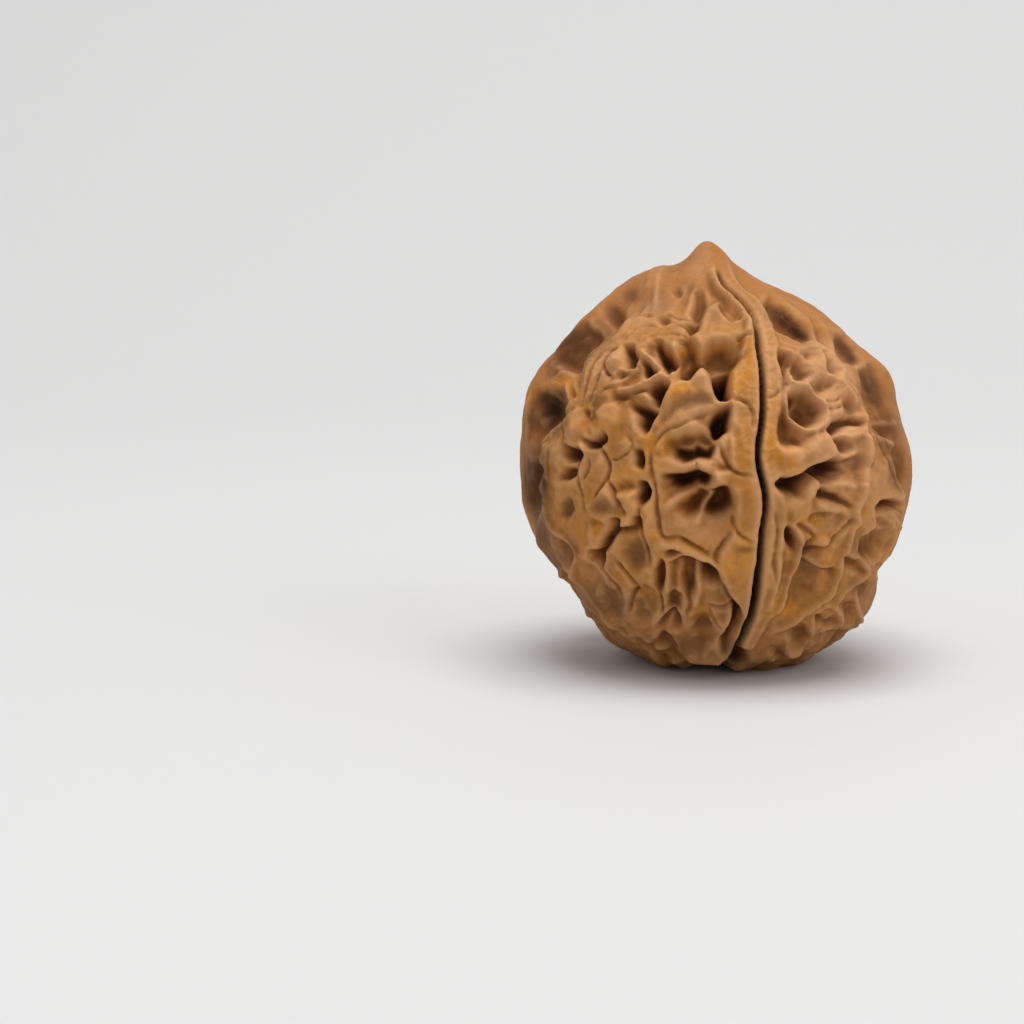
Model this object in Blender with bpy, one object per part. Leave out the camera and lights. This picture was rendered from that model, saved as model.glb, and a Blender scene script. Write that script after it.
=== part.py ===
"""A whole walnut in its shell, standing on its base with the tip up.

The shell grew as one piece: two halves joined along a raised seam that runs from the tip down the
front, under the base and up the back. Lumps, ribs, furrows and holes stand in relief on a plain form.
Lengths are in millimetres until the mesh is made. +Z is up and -Y is the front.
"""

import math
import random

import bmesh
import bpy
import numpy as np
from mathutils import Vector, noise

# Driving dimensions of the nut.
MM = 0.001
HEIGHT = 41.9
MIDDLE = 20.0
LEAN = -0.040

# The plain form's half outline, from the tip down to the base, as (radius, height).
OUTLINE = [
    (0.0, HEIGHT), (0.7, 41.7), (1.3, 41.0), (1.9, 40.3), (2.8, 39.5), (4.0, 38.7), (5.4, 37.8),
    (7.4, 36.7), (9.5, 35.6), (11.9, 33.8), (14.2, 31.9), (16.1, 29.6), (17.3, 27.3), (18.4, 24.1),
    (18.9, 21.4), (19.0, 19.5), (18.8, 17.0), (18.3, 14.5), (17.6, 12.3), (16.4, 9.9), (15.0, 7.4),
    (13.4, 4.7), (11.8, 2.7), (10.4, 1.4), (8.9, 0.4), (7.2, -0.1), (5.5, -0.3), (3.5, 0.1), (0.0, 0.6),
]

# The front's relief is placed by eye, in pixels of the reference photograph. Ten of its pixels are
# a millimetre at the nut's axis, and its centre is SHEET_CENTRE. The eye looks down by EYE_FALL.
PIXELS_PER_MM = 10.0
SHEET_CENTRE = (512.0, 512.0)
NUT_MIDDLE_PIXEL = (714.0, 460.0)
EYE_DISTANCE = 300.0
EYE_FALL = math.radians(8.0)
FRONT_LIFT = 0.8
VALLEY_DROP = 0.5
SOFTNESS = 0.28

# Faces along each edge of the cube that is blown up into the shell, and the triangles kept when the
# level stretches are thinned out.
CUBE_CELLS = 84
TRIANGLES = 11600
# What lies lower than this after the thinning is pressed level, which makes the spots it stands on.
LEVEL_BELOW = 0.12

# The lumpy part of each face, as half its turn round from the seam, for the fall from the tip.
LUMPY_FALL = [0, 22, 35, 50, 75, 95, 130, 155, 180]
LUMPY_TURN = [8, 20, 40, 50, 60, 63, 68, 80, 95]

# The seam's crack and the ridge on its right, in pixels, and its line behind, as turns and falls.
SEAM_LINE = [(706, 243), (711, 259), (719, 280), (734, 300), (748, 319), (755, 345), (759, 380), (760, 420),
             (757, 460), (764, 502), (760, 540), (756, 585), (751, 613), (738, 636), (728, 654)]
RIGHT_RIM = [(710, 244), (717, 258), (727, 278), (743, 296), (757, 314), (765, 338), (769, 362), (770, 395),
             (767, 430), (766, 460), (771, 485), (777, 505), (776, 530), (771, 560), (767, 585), (761, 612),
             (748, 634)]
SEAM_TURN = 13.0
BACK_SEAM = [(SEAM_TURN + 180, 4), (196, 20), (190, 38), (194, 60), (191, 85), (195, 108), (192, 130),
             (196, 150), (192, 166)]
SEED = 7


def outline_table():
    """The plain form's distance from its middle, for every half degree down from the tip."""
    radius, height = np.array(OUTLINE).T
    fall = np.arctan2(radius, height - MIDDLE)
    grid = np.radians(np.arange(0, 180.5, 0.5))
    reach = np.interp(grid, fall, np.hypot(radius, height - MIDDLE))
    blur = np.exp(-(np.arange(-6, 7) / 2.5) ** 2)
    padded = np.concatenate([reach[6:0:-1], reach, reach[-2:-8:-1]])
    return grid, np.convolve(padded, blur / blur.sum(), "valid")


GRID, REACH = outline_table()


def plain(directions):
    """Points on the plain form, straight out from its middle along unit directions, with its lean."""
    fall = np.arccos(np.clip(directions[:, 2], -1, 1))
    points = directions * np.interp(fall, GRID, REACH)[:, None]
    points[:, 0] += LEAN * points[:, 2]
    points[:, 2] += MIDDLE
    return points


def directions_of(points):
    """Unit directions from the form's middle, once its lean is taken out."""
    local = points - (0.0, 0.0, MIDDLE)
    local[:, 0] -= LEAN * local[:, 2]
    return local / np.linalg.norm(local, axis=1)[:, None]


def eye_and_axes():
    """The viewer's right, ahead and up directions, and the eye's place."""
    right = np.array([1.0, 0.0, 0.0])
    ahead = np.array([0.0, math.cos(EYE_FALL), -math.sin(EYE_FALL)])
    up = np.cross(right, ahead)
    aim_right, aim_up = ((np.array(NUT_MIDDLE_PIXEL) - SHEET_CENTRE) * (1, -1)) / PIXELS_PER_MM
    eye = np.array([0.0, 0.0, MIDDLE]) - EYE_DISTANCE * ahead - aim_right * right - aim_up * up
    return right, ahead, up, eye


def usual_lift(pixels):
    """How far the front's relief mostly stands above the plain form at these pixels."""
    away = np.hypot(pixels[:, 0] - NUT_MIDDLE_PIXEL[0], 0.92 * (pixels[:, 1] - NUT_MIDDLE_PIXEL[1]))
    return FRONT_LIFT * np.clip((185 - away) / 40, 0, 1)


def seen(pixels, raised=None):
    """The points of the plain form below those that the eye sees at these pixels of the photograph,
    which stand this far above it."""
    right, ahead, up, eye = eye_and_axes()
    pixels = np.array(pixels, float)
    raised = usual_lift(pixels) if raised is None else raised
    across, down = ((pixels - SHEET_CENTRE) / PIXELS_PER_MM).T
    rays = EYE_DISTANCE * ahead + across[:, None] * right - down[:, None] * up
    rays /= np.linalg.norm(rays, axis=1)[:, None]
    nearest = ((np.array([0.0, 0.0, MIDDLE]) - eye) * rays).sum(axis=1)
    points = eye + nearest[:, None] * rays
    closest = points.copy()
    for _ in range(12):
        away = directions_of(points)
        size = np.linalg.norm(plain(away) - (0.0, 0.0, MIDDLE), axis=1) + raised
        miss = np.linalg.norm(closest - (0.0, 0.0, MIDDLE), axis=1)
        inward = np.sqrt(np.clip(size**2 - miss**2, 0.01, None))
        points = closest - inward[:, None] * rays
    return plain(directions_of(points))


def pixels_of(points):
    """Where in the photograph these points of the nut are seen."""
    right, ahead, up, eye = eye_and_axes()
    away = points - eye
    scale = EYE_DISTANCE * PIXELS_PER_MM / (away @ ahead)
    return np.stack([SHEET_CENTRE[0] + away @ right * scale, SHEET_CENTRE[1] - away @ up * scale], axis=1)


def raised_pixels_of(points, directions):
    """The same for points of the plain form, once the front's relief has raised them."""
    pixels = pixels_of(points)
    return pixels_of(points + usual_lift(pixels)[:, None] * directions)


def around(turns_falls):
    """Points of the plain form given in degrees: the turn round from the front towards +X, and the
    fall from the tip, where 180 is the middle of the base."""
    turn, fall = np.radians(np.array(turns_falls, float)).T
    return plain(np.stack([np.sin(fall) * np.sin(turn), -np.sin(fall) * np.cos(turn), np.cos(fall)], axis=1))


def smooth_route(points, steps=4):
    """A route's points with a smooth curve run through them."""
    ends = np.vstack([2 * points[0] - points[1], points, 2 * points[-1] - points[-2]])
    before, here, there, after = ends[:-3], ends[1:-2], ends[2:-1], ends[3:]
    run = []
    for step in np.arange(steps) / steps:
        run.append(0.5 * (2 * here + (there - before) * step
                          + (2 * before - 5 * here + 4 * there - after) * step**2
                          + (3 * here - before - 3 * there + after) * step**3))
    return np.vstack([np.stack(run, axis=1).reshape(-1, points.shape[1]), points[-1:]])


def rounded(share):
    """A rib's section: 1 on its line, 0 with no slope at its edge."""
    return (1 - share**2) ** 2


def flat_topped(share):
    """A band's section: level across its middle and round at its edges."""
    return 1 - np.clip((share - 0.35) / 0.65, 0, 1) ** 2 * (3 - 2 * np.clip((share - 0.35) / 0.65, 0, 1))


def creased(share):
    """A furrow's section: a sharp bottom between round shoulders."""
    return (1 - share) ** 2


class Relief:
    """Heights above the plain form, for many points of it at once."""

    def __init__(self, directions, finest):
        self.plain = plain(directions)
        self.out = directions
        self.lift = np.zeros(len(directions))
        self.finest = finest
        self.turn = np.degrees(np.arctan2(directions[:, 0], -directions[:, 1]))
        self.fall = np.degrees(np.arccos(np.clip(directions[:, 2], -1, 1)))
        self.steady = self.plain + self.wander(3.2, 0.14)
        self.query = self.steady + self.wander(1.4, 0.13) + self.wander(0.6, 0.03)
        facing = -(directions @ eye_and_axes()[1])
        self.facing = np.clip((facing - 0.16) / 0.26, 0, 1)
        self.pixels = raised_pixels_of(self.query, directions)
        self.steady_pixels = raised_pixels_of(self.steady, directions)
        self.low_pixels = pixels_of(self.query - VALLEY_DROP * directions)

    def wander(self, size, amount):
        """A smooth random sideways shift, which keeps every line and edge from looking drawn."""
        return np.array([noise.noise_vector(Vector(point) / size) for point in self.plain]) * amount

    def rolling(self, size, offset=0.0):
        """Smooth random hills of about this size, from -1 to 1."""
        return np.array([noise.noise(Vector(point) / size + Vector((offset, 0, 0))) for point in self.query])

    def lumpy(self, side):
        """1 on the lumpy part of the front (side 1) or the back (side -1), and 0 off it."""
        turn = np.abs(self.turn) if side > 0 else 180 - np.abs(self.turn)
        edge = np.interp(self.fall, LUMPY_FALL, LUMPY_TURN)
        inside = np.clip((edge - turn) / 9 + 0.5, 0, 1)
        below_tip = np.clip((self.fall - 30) / 14, 0, 1)
        return inside**2 * (3 - 2 * inside) * below_tip

    def share(self, route, half_width, section, tapered=True, steady=False):
        """How strongly each point lies on a line along a route, from 0 to 1."""
        lift, self.lift = self.lift, np.zeros(len(self.lift))
        self.stroke(route, half_width, 1.0, section, tapered, steady)
        strength, self.lift = self.lift, lift
        return strength

    def stroke(self, route, half_width, height, section, tapered=True, steady=False):
        """Raises, or with a negative height sinks, a line along a route of points."""
        half_width = max(half_width, self.finest)
        query = self.steady if steady else self.query
        middle = route.mean(axis=0)
        reach = np.linalg.norm(route - middle, axis=1).max() + half_width
        near = np.flatnonzero(((query - middle) ** 2).sum(axis=1) < reach**2)
        if not len(near):
            return
        spots = query[near]
        best = np.full(len(near), np.inf)
        share = np.zeros(len(near))
        legs = np.diff(route, axis=0)
        lengths = np.linalg.norm(legs, axis=1)
        along = np.concatenate([[0], np.cumsum(lengths)])
        for start, leg, length, before in zip(route, legs, lengths, along):
            away = spots - start
            part = np.clip(away @ leg / max(length**2, 1e-9), 0, 1)
            gap = np.linalg.norm(away - part[:, None] * leg, axis=1)
            closer = gap < best
            best[closer] = gap[closer]
            share[closer] = (before + part[closer] * length) / along[-1]
        strength = section(np.clip(best / half_width, 0, 1))
        if tapered:
            end = np.clip(np.minimum(share, 1 - share) / 0.18, 0, 1)
            strength = strength * (0.25 + 0.75 * end * (2 - end))
        self.lift[near] += height * strength

    def terrace(self, pixels, height, edge, steady=False, low_lying=False):
        """Raises, or with a negative height sinks, the front's surface inside a closed outline of
        photograph pixels, with a sloping edge of this half width in millimetres."""
        corners = np.array(pixels, float) / PIXELS_PER_MM
        spots = self.steady_pixels if steady else self.low_pixels if low_lying else self.pixels
        spots = spots / PIXELS_PER_MM
        low, high = corners.min(axis=0) - edge, corners.max(axis=0) + edge
        near = np.flatnonzero(((spots > low) & (spots < high)).all(axis=1) & (self.facing > 0))
        spots = spots[near]
        gap = np.full(len(near), np.inf)
        inside = np.zeros(len(near), bool)
        for start, end in zip(corners, np.roll(corners, -1, axis=0)):
            leg = end - start
            part = np.clip((spots - start) @ leg / (leg @ leg), 0, 1)
            gap = np.minimum(gap, np.linalg.norm(spots - start - part[:, None] * leg, axis=1))
            crosses = (spots[:, 1] < start[1]) != (spots[:, 1] < end[1])
            across = start[0] + (spots[:, 1] - start[1]) / (leg[1] if leg[1] else 1e-9) * leg[0]
            inside ^= crosses & (spots[:, 0] < across)
        rise = np.clip(0.5 + np.where(inside, gap, -gap) / (2 * max(edge, self.finest)), 0, 1)
        self.lift[near] += height * rise**2 * (3 - 2 * rise) * self.facing[near]

    def step(self, pixels, depth, reach, wall=0.4):
        """Sinks the front beside a line of pixels, on the right hand of a walk along it: in full just
        past the line, and less and less as far as this reach."""
        line = smooth_route(np.array(pixels, float)) / PIXELS_PER_MM
        spots = self.pixels / PIXELS_PER_MM
        low, high = line.min(axis=0) - reach, line.max(axis=0) + reach
        near = np.flatnonzero(((spots > low) & (spots < high)).all(axis=1) & (self.facing > 0))
        spots = spots[near]
        gap = np.full(len(near), np.inf)
        side = np.zeros(len(near))
        share = np.zeros(len(near))
        legs = np.diff(line, axis=0)
        for index, (start, leg) in enumerate(zip(line, legs)):
            away = spots - start
            part = np.clip(away @ leg / (leg @ leg), 0, 1)
            here = np.linalg.norm(away - part[:, None] * leg, axis=1)
            closer = here < gap
            gap[closer] = here[closer]
            side[closer] = np.sign(leg[0] * away[closer, 1] - leg[1] * away[closer, 0])
            share[closer] = (index + part[closer]) / len(legs)
        past = gap * side
        drop = np.clip(past / max(wall, self.finest) + 0.5, 0, 1)
        fade = np.clip(1 - past / reach, 0, 1)
        end = np.clip(np.minimum(share, 1 - share) / 0.2, 0, 1)
        self.lift[near] -= depth * drop**2 * (3 - 2 * drop) * fade**1.4 * end * (2 - end) * self.facing[near]

    def oval(self, pixel, half_wide, half_tall, lean, wall):
        """Which points lie in an oval round the spot that the eye sees at a pixel, and how far in, from
        0 to 1. Its lean is in degrees clockwise, and wall is the share of it that its side takes."""
        centre = seen([pixel])[0]
        half_wide, half_tall = max(half_wide, self.finest), max(half_tall, self.finest)
        return self.oval_at(centre, half_wide, half_tall, lean, wall)

    def oval_at(self, centre, half_wide, half_tall, lean, wall):
        """The same round a point of the plain form."""
        reach = 1.4 * max(half_wide, half_tall)
        near = np.flatnonzero(((self.query - centre) ** 2).sum(axis=1) < reach**2)
        out = directions_of(centre[None])[0]
        east = np.array([-out[1], out[0], 0.0])
        east /= np.linalg.norm(east) + 1e-9
        north = np.cross(out, east)
        turn = math.radians(lean)
        across = math.cos(turn) * east - math.sin(turn) * north
        upward = math.sin(turn) * east + math.cos(turn) * north
        away = self.query[near] - centre
        share = np.hypot(away @ across / half_wide, away @ upward / half_tall)
        side = np.clip((1.15 - share) / wall, 0, 1)
        return near, side**2 * (3 - 2 * side)


def lumpy_front(relief):
    """The front's lumpy part, which stands proud of the smooth sides with a lobed lip."""
    lip = [(690, 262), (668, 275), (655, 292), (640, 312), (627, 316), (620, 325), (613, 335), (603, 343),
           (594, 350), (588, 357), (585, 365), (583, 375), (579, 388), (577, 395), (570, 400), (565, 407),
           (565, 415), (562, 421), (555, 426), (549, 432), (549, 438), (552, 442), (545, 449), (541, 456),
           (541, 462), (546, 468), (545, 476), (543, 485), (546, 495), (545, 505), (541, 515), (548, 522),
           (551, 530), (553, 540), (557, 550), (562, 565), (563, 575), (567, 588), (576, 598), (588, 610),
           (594, 622), (604, 634), (622, 648), (660, 662), (700, 662), (760, 660), (795, 654), (825, 644),
           (848, 630), (862, 613), (872, 592), (880, 568), (886, 552), (893, 530), (900, 506), (897, 494),
           (893, 485), (890, 475), (884, 456), (887, 448), (884, 440), (875, 433), (870, 425), (866, 414),
           (860, 402), (858, 390), (852, 382), (845, 370), (838, 358), (834, 350), (826, 346), (812, 344),
           (800, 345), (786, 340), (778, 332), (768, 318), (758, 300), (735, 275), (715, 262)]
    before = relief.lift.copy()
    relief.terrace(lip, 1.0, 0.5)
    relief.lift = before + (relief.lift - before) * np.clip((relief.fall - 14) / 26, 0, 1)

    # The long valleys that part it from the sides, with their deep dimples.
    for half_width, depth, route in (
            (2.2, 0.9, [(640, 284), (616, 316), (594, 343), (570, 378), (555, 412), (543, 450), (539, 490),
                        (543, 530), (556, 568), (575, 600)]),
            (2.0, 0.7, [(745, 296), (781, 322), (812, 337), (846, 352), (868, 388), (880, 425), (891, 455),
                        (896, 482), (892, 515), (880, 550)])):
        relief.stroke(smooth_route(seen(route, -VALLEY_DROP)), half_width, -depth, rounded)
    for depth, edge, outline in (
            (1.7, 0.45, [(585, 328), (597, 333), (600, 342), (590, 350), (585, 358), (584, 368), (574, 372),
                        (562, 366), (553, 363), (556, 354), (564, 346), (573, 336)]),
            (1.1, 0.5, [(608, 305), (616, 307), (625, 318), (620, 328), (611, 321), (605, 312)]),
            (0.8, 0.5, [(626, 287), (636, 289), (641, 298), (634, 305), (627, 298)]),
            (1.1, 0.7, [(532, 392), (558, 390), (571, 398), (566, 420), (552, 430), (541, 438), (531, 426),
                        (529, 405)]),
            (1.5, 0.5, [(544, 395), (553, 398), (560, 406), (566, 418), (558, 424), (549, 430), (545, 418),
                        (541, 405)]),
            (1.3, 0.6, [(526, 461), (541, 461), (546, 470), (545, 490), (546, 505), (541, 522), (533, 520),
                        (527, 498), (524, 478)]),
            (0.7, 0.7, [(533, 520), (545, 524), (552, 540), (560, 566), (556, 575), (546, 556), (538, 540)]),
            (1.4, 0.5, [(763, 306), (770, 303), (781, 309), (791, 321), (801, 331), (811, 341), (800, 344),
                        (790, 338), (779, 332), (769, 326), (764, 317)]),
            (0.7, 0.4, [(769, 313), (777, 313), (789, 326), (781, 329), (772, 323)]),
            (1.2, 0.45, [(834, 340), (842, 339), (851, 350), (859, 362), (850, 365), (842, 361), (836, 351)]),
            (1.0, 0.6, [(861, 371), (870, 367), (881, 374), (884, 392), (892, 412), (896, 440), (903, 462),
                        (900, 484), (893, 472), (888, 450), (886, 440), (877, 431), (869, 420), (864, 405),
                        (860, 390)]),
            (0.6, 0.5, [(863, 392), (872, 396), (880, 415), (888, 436), (880, 434), (870, 420)]),
            (0.6, 0.5, [(889, 446), (896, 448), (899, 470), (893, 474)])):
        relief.terrace(outline, -depth, edge, low_lying=True)
    for height, half_width, route in (
            (0.8, 0.45, [(545, 409), (541, 422), (538, 437), (536, 448)]),
            (0.6, 0.45, [(537, 398), (532, 418), (529, 440)]),
            (0.5, 0.45, [(560, 381), (564, 390), (569, 399)]),
            (0.4, 0.40, [(571, 379), (574, 387), (578, 394)]),
            (0.6, 0.60, [(548, 443), (541, 450), (536, 457)]),
            (0.3, 0.5, [(883, 418), (889, 421), (898, 424)]),
            (0.5, 1.1, [(692, 250), (676, 260), (664, 270), (655, 284), (648, 300)]),
            (0.4, 0.6, [(668, 268), (661, 284), (657, 299), (655, 316)])):
        relief.stroke(smooth_route(seen(route)), half_width, height, rounded)
    relief.stroke(smooth_route(seen([(690, 252), (678, 260), (666, 266), (655, 277)])), 0.5, -0.4, creased)


def plates_and_ribs(relief):
    """The front's raised plates and the ribs between its holes."""
    for height, edge, outline in (
            # Left of the seam, from the tip down.
            (0.9, 0.5, [(717, 302), (708, 311), (703, 318), (701, 326), (697, 335), (690, 343), (693, 351),
                        (700, 361), (706, 355), (714, 349), (724, 347), (737, 345), (750, 345), (749, 330),
                        (741, 321), (730, 326), (724, 317)]),
            (1.1, 0.7, [(702, 369), (709, 376), (713, 388), (718, 399), (706, 402), (692, 406), (678, 404),
                        (668, 410), (666, 398), (672, 388), (684, 384), (693, 377)]),
            (0.7, 0.6, [(728, 399), (716, 402), (700, 406), (680, 413), (668, 424), (660, 436), (672, 430),
                        (686, 426), (700, 419), (714, 413), (728, 408)]),
            (0.6, 0.5, [(660, 440), (671, 431), (684, 427), (698, 421), (708, 426), (710, 436), (700, 438),
                        (684, 437), (672, 442), (662, 452), (656, 452)]),
            (0.6, 0.4, [(720, 434), (728, 432), (732, 445), (734, 460), (736, 471), (724, 466), (714, 463),
                        (709, 458), (711, 450), (715, 440)]),
            (0.5, 0.4, [(656, 456), (678, 457), (697, 458), (710, 462), (728, 472), (727, 486), (712, 479),
                        (698, 471), (684, 474), (662, 473), (655, 480)]),
            (0.6, 0.35, [(570, 432), (568, 423), (573, 416), (579, 410), (586, 413), (592, 419), (594, 428),
                         (592, 441), (588, 448), (580, 449), (573, 442)]),
            (0.7, 0.35, [(593, 420), (600, 413), (608, 406), (618, 403), (624, 412), (622, 425), (614, 434),
                         (604, 438), (597, 440), (594, 430)]),
            (0.45, 0.3, [(609, 483), (616, 492), (622, 502), (619, 515), (608, 520), (597, 515), (589, 506),
                         (597, 496), (603, 489)]),
            (0.5, 0.3, [(619, 494), (636, 491), (639, 500), (641, 512), (637, 525), (626, 529), (621, 522),
                        (628, 511)]),
            (0.6, 0.5, [(708, 603), (722, 602), (734, 602), (735, 610), (731, 622), (724, 631), (714, 628),
                        (709, 618)]),
            (0.9, 0.5, [(690, 641), (700, 641), (710, 634), (722, 631), (727, 640), (724, 653), (715, 661),
                        (700, 659), (688, 652)]),
            # Right of the seam.
            (0.8, 0.45, [(775, 444), (784, 452), (790, 447), (800, 445), (812, 438), (822, 434), (833, 447),
                         (834, 455), (822, 462), (811, 466), (804, 471), (796, 477), (786, 480), (779, 475),
                         (775, 460)]),
            (0.9, 0.3, [(806, 475), (812, 471), (817, 479), (818, 487), (811, 497), (803, 499), (801, 490)]),
            (0.6, 0.35, [(790, 494), (800, 499), (809, 499), (809, 510), (803, 518), (795, 521), (789, 514),
                         (786, 503)]),
            (0.6, 0.45, [(860, 436), (870, 434), (884, 442), (885, 452), (888, 476), (894, 494), (884, 499),
                         (872, 499), (868, 508), (867, 525), (858, 534), (853, 520), (858, 496), (862, 470)])):
        relief.terrace(outline, height, edge)
    for height, half_width, route in (
            (0.9, 0.50, [(640, 352), (648, 360), (658, 369), (667, 374)]),
            (0.6, 0.60, [(676, 343), (676, 354), (675, 368), (674, 380)]),
            (0.7, 0.50, [(637, 366), (632, 376), (622, 384), (612, 387)]),
            (0.6, 0.55, [(668, 380), (655, 381), (645, 387), (632, 391), (620, 392)]),
            (0.6, 0.55, [(657, 401), (645, 400), (634, 401), (624, 404)]),
            (1.1, 0.60, [(696, 480), (688, 489), (680, 497), (671, 504), (664, 509)]),
            (0.8, 0.55, [(717, 493), (707, 502), (700, 512), (693, 524)]),
            (0.5, 0.60, [(733, 488), (736, 499), (734, 512)]),
            (0.7, 0.70, [(654, 545), (668, 543), (684, 548), (698, 553), (712, 560), (722, 572), (726, 586)]),
            (0.8, 0.55, [(697, 562), (698, 576), (698, 592), (696, 606)]),
            (0.6, 0.50, [(668, 562), (669, 576), (668, 592), (664, 606)]),
            (0.6, 0.35, [(552, 498), (554, 514), (561, 529), (570, 536), (577, 544), (579, 553), (578, 565),
                         (582, 577), (590, 587), (598, 599), (607, 611), (615, 619), (626, 629), (637, 637)]),
            (0.6, 0.40, [(553, 540), (558, 552), (563, 566), (565, 580), (570, 592), (580, 602), (589, 611),
                         (596, 623), (606, 634)]),
            (0.6, 0.55, [(786, 390), (785, 402), (787, 415), (794, 425), (803, 430), (813, 429), (822, 421),
                         (823, 410), (818, 400), (810, 392), (800, 387), (791, 387)]),
            (0.5, 0.40, [(778, 352), (789, 354), (793, 362), (789, 372), (788, 382), (797, 386)]),
            (0.5, 0.50, [(808, 346), (818, 352), (824, 364), (828, 376), (840, 384), (848, 394), (856, 406)]),
            (0.5, 0.40, [(838, 357), (842, 370), (850, 382), (856, 396), (862, 414), (861, 432)]),
            (0.7, 0.50, [(862, 432), (863, 450), (861, 465), (859, 480), (857, 495), (852, 508), (851, 522),
                         (846, 535), (842, 548), (838, 560), (836, 572), (830, 585), (820, 597), (808, 607),
                         (797, 614), (784, 623), (770, 628)]),
            (0.5, 0.45, [(834, 437), (846, 437), (858, 434)]),
            (0.5, 0.50, [(830, 456), (842, 456), (852, 452)]),
            (0.5, 0.50, [(826, 483), (840, 484), (852, 488)]),
            (0.5, 0.60, [(812, 504), (824, 508), (838, 515)]),
            (0.8, 0.60, [(792, 523), (798, 535), (799, 548), (795, 558), (793, 568), (789, 580), (787, 592),
                         (781, 603), (772, 612)]),
            (0.5, 0.45, [(778, 556), (776, 574), (770, 590), (764, 606)]),
            (0.5, 0.40, [(850, 579), (848, 592), (851, 604), (852, 617), (845, 627)]),
            (0.6, 0.45, [(860, 560), (860, 568), (850, 577), (838, 587), (832, 600)]),
            (0.5, 0.35, [(880, 508), (888, 522), (894, 540), (886, 552)]),
            (0.4, 0.35, [(872, 512), (882, 520), (885, 536), (878, 552), (870, 566), (868, 582)]),
            (0.5, 0.45, [(806, 612), (816, 606), (826, 600), (836, 606), (836, 618)]),
            (0.4, 0.35, [(812, 612), (809, 622), (806, 634), (794, 644), (778, 646)])):
        relief.stroke(smooth_route(seen(route)), half_width, height, rounded)


def grooves(relief):
    """The thin grooves that part the front's lumps into cells, and its fine wrinkles."""
    for depth, half_width, route in (
            (0.6, 0.50, [(720, 304), (722, 312), (727, 322), (731, 328)]),
            (0.4, 0.35, [(729, 327), (736, 324), (742, 321)]),
            (0.4, 0.30, [(735, 345), (742, 343), (749, 343)]),
            (0.45, 0.32, [(655, 451), (658, 444), (662, 437), (671, 431), (684, 427), (698, 420), (712, 413),
                          (722, 408)]),
            (0.45, 0.40, [(729, 403), (738, 402), (746, 407), (751, 417), (752, 430)]),
            (0.55, 0.38, [(715, 441), (721, 453), (727, 464), (735, 472), (750, 476)]),
            (0.5, 0.25, [(696, 462), (697, 471)]),
            (0.6, 0.42, [(653, 450), (652, 465), (655, 480), (657, 500), (659, 520), (663, 534), (672, 537),
                         (680, 536), (690, 542), (702, 548), (713, 557)]),
            (0.5, 0.35, [(732, 514), (733, 525), (739, 532), (752, 540)]),
            (0.45, 0.35, [(731, 529), (724, 541), (716, 552), (716, 562)]),
            (0.8, 0.30, [(708, 490), (716, 492), (723, 489)]),
            (0.55, 0.35, [(618, 348), (610, 355), (606, 364), (607, 373), (613, 380)]),
            (0.45, 0.32, [(606, 352), (597, 364), (591, 378), (586, 393), (583, 408)]),
            (0.40, 0.30, [(608, 362), (601, 374), (596, 388), (591, 403)]),
            (0.35, 0.30, [(598, 353), (590, 363), (587, 375), (584, 386)]),
            (0.30, 0.30, [(620, 330), (628, 322), (640, 318), (655, 319)]),
            (0.30, 0.30, [(622, 344), (632, 334), (645, 328), (660, 331)]),
            (0.30, 0.30, [(640, 345), (655, 338), (672, 336), (690, 340)]),
            (0.35, 0.30, [(666, 318), (680, 321), (698, 323)]),
            (0.30, 0.28, [(676, 328), (686, 330), (697, 333)]),
            (0.35, 0.30, [(620, 397), (634, 395), (648, 392), (656, 386)]),
            (0.35, 0.30, [(602, 396), (608, 390), (618, 388)]),
            (0.50, 0.35, [(602, 447), (608, 457), (612, 466), (611, 475), (605, 487), (598, 498)]),
            (0.50, 0.35, [(611, 479), (616, 491), (622, 501), (629, 512)]),
            (0.50, 0.35, [(584, 456), (581, 468), (582, 482), (586, 496), (588, 512)]),
            (0.40, 0.30, [(591, 459), (591, 470), (586, 480)]),
            (0.40, 0.35, [(563, 420), (567, 434), (565, 446)]),
            (0.35, 0.30, [(553, 450), (552, 466), (554, 482)]),
            (0.40, 0.35, [(628, 436), (634, 444), (630, 452), (620, 458), (612, 460)]),
            (0.60, 0.40, [(620, 560), (630, 573), (638, 585)]),
            (0.50, 0.35, [(638, 586), (633, 596), (631, 609)]),
            (0.55, 0.35, [(604, 567), (610, 573), (616, 580), (623, 592)]),
            (0.50, 0.35, [(661, 585), (661, 600), (663, 613)]),
            (0.40, 0.35, [(646, 545), (650, 556), (652, 568)]),
            (0.45, 0.35, [(640, 505), (640, 520), (644, 535), (648, 548)]),
            (0.40, 0.35, [(708, 604), (722, 603), (734, 600)]),
            (0.40, 0.35, [(709, 606), (714, 616), (722, 622)]),
            (0.45, 0.40, [(690, 590), (691, 604), (686, 614)]),
            (0.40, 0.35, [(720, 575), (727, 588), (734, 600)]),
            (0.35, 0.30, [(762, 401), (770, 399), (776, 392)]),
            (0.60, 0.45, [(776, 360), (781, 376), (784, 388)]),
            (0.50, 0.40, [(800, 559), (812, 549), (824, 545), (833, 535), (844, 524), (850, 517)]),
            (0.55, 0.35, [(799, 560), (812, 566), (824, 569), (836, 568)]),
            (0.50, 0.30, [(865, 432), (866, 448), (864, 466)]),
            (0.50, 0.40, [(797, 522), (806, 529), (812, 536), (806, 546)]),
            (0.8, 0.40, [(810, 631), (820, 627), (834, 626)]),
            (0.40, 0.35, [(772, 510), (776, 530), (772, 555), (774, 580)]),
            (0.35, 0.30, [(822, 404), (832, 402), (838, 398)]),
            (0.35, 0.30, [(824, 410), (833, 410), (840, 405)]),
            (0.40, 0.35, [(880, 500), (890, 508), (897, 520)]),
            (0.35, 0.30, [(868, 440), (874, 452), (880, 470), (884, 488)])):
        relief.stroke(smooth_route(seen(route)), half_width, -depth, creased)


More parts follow.
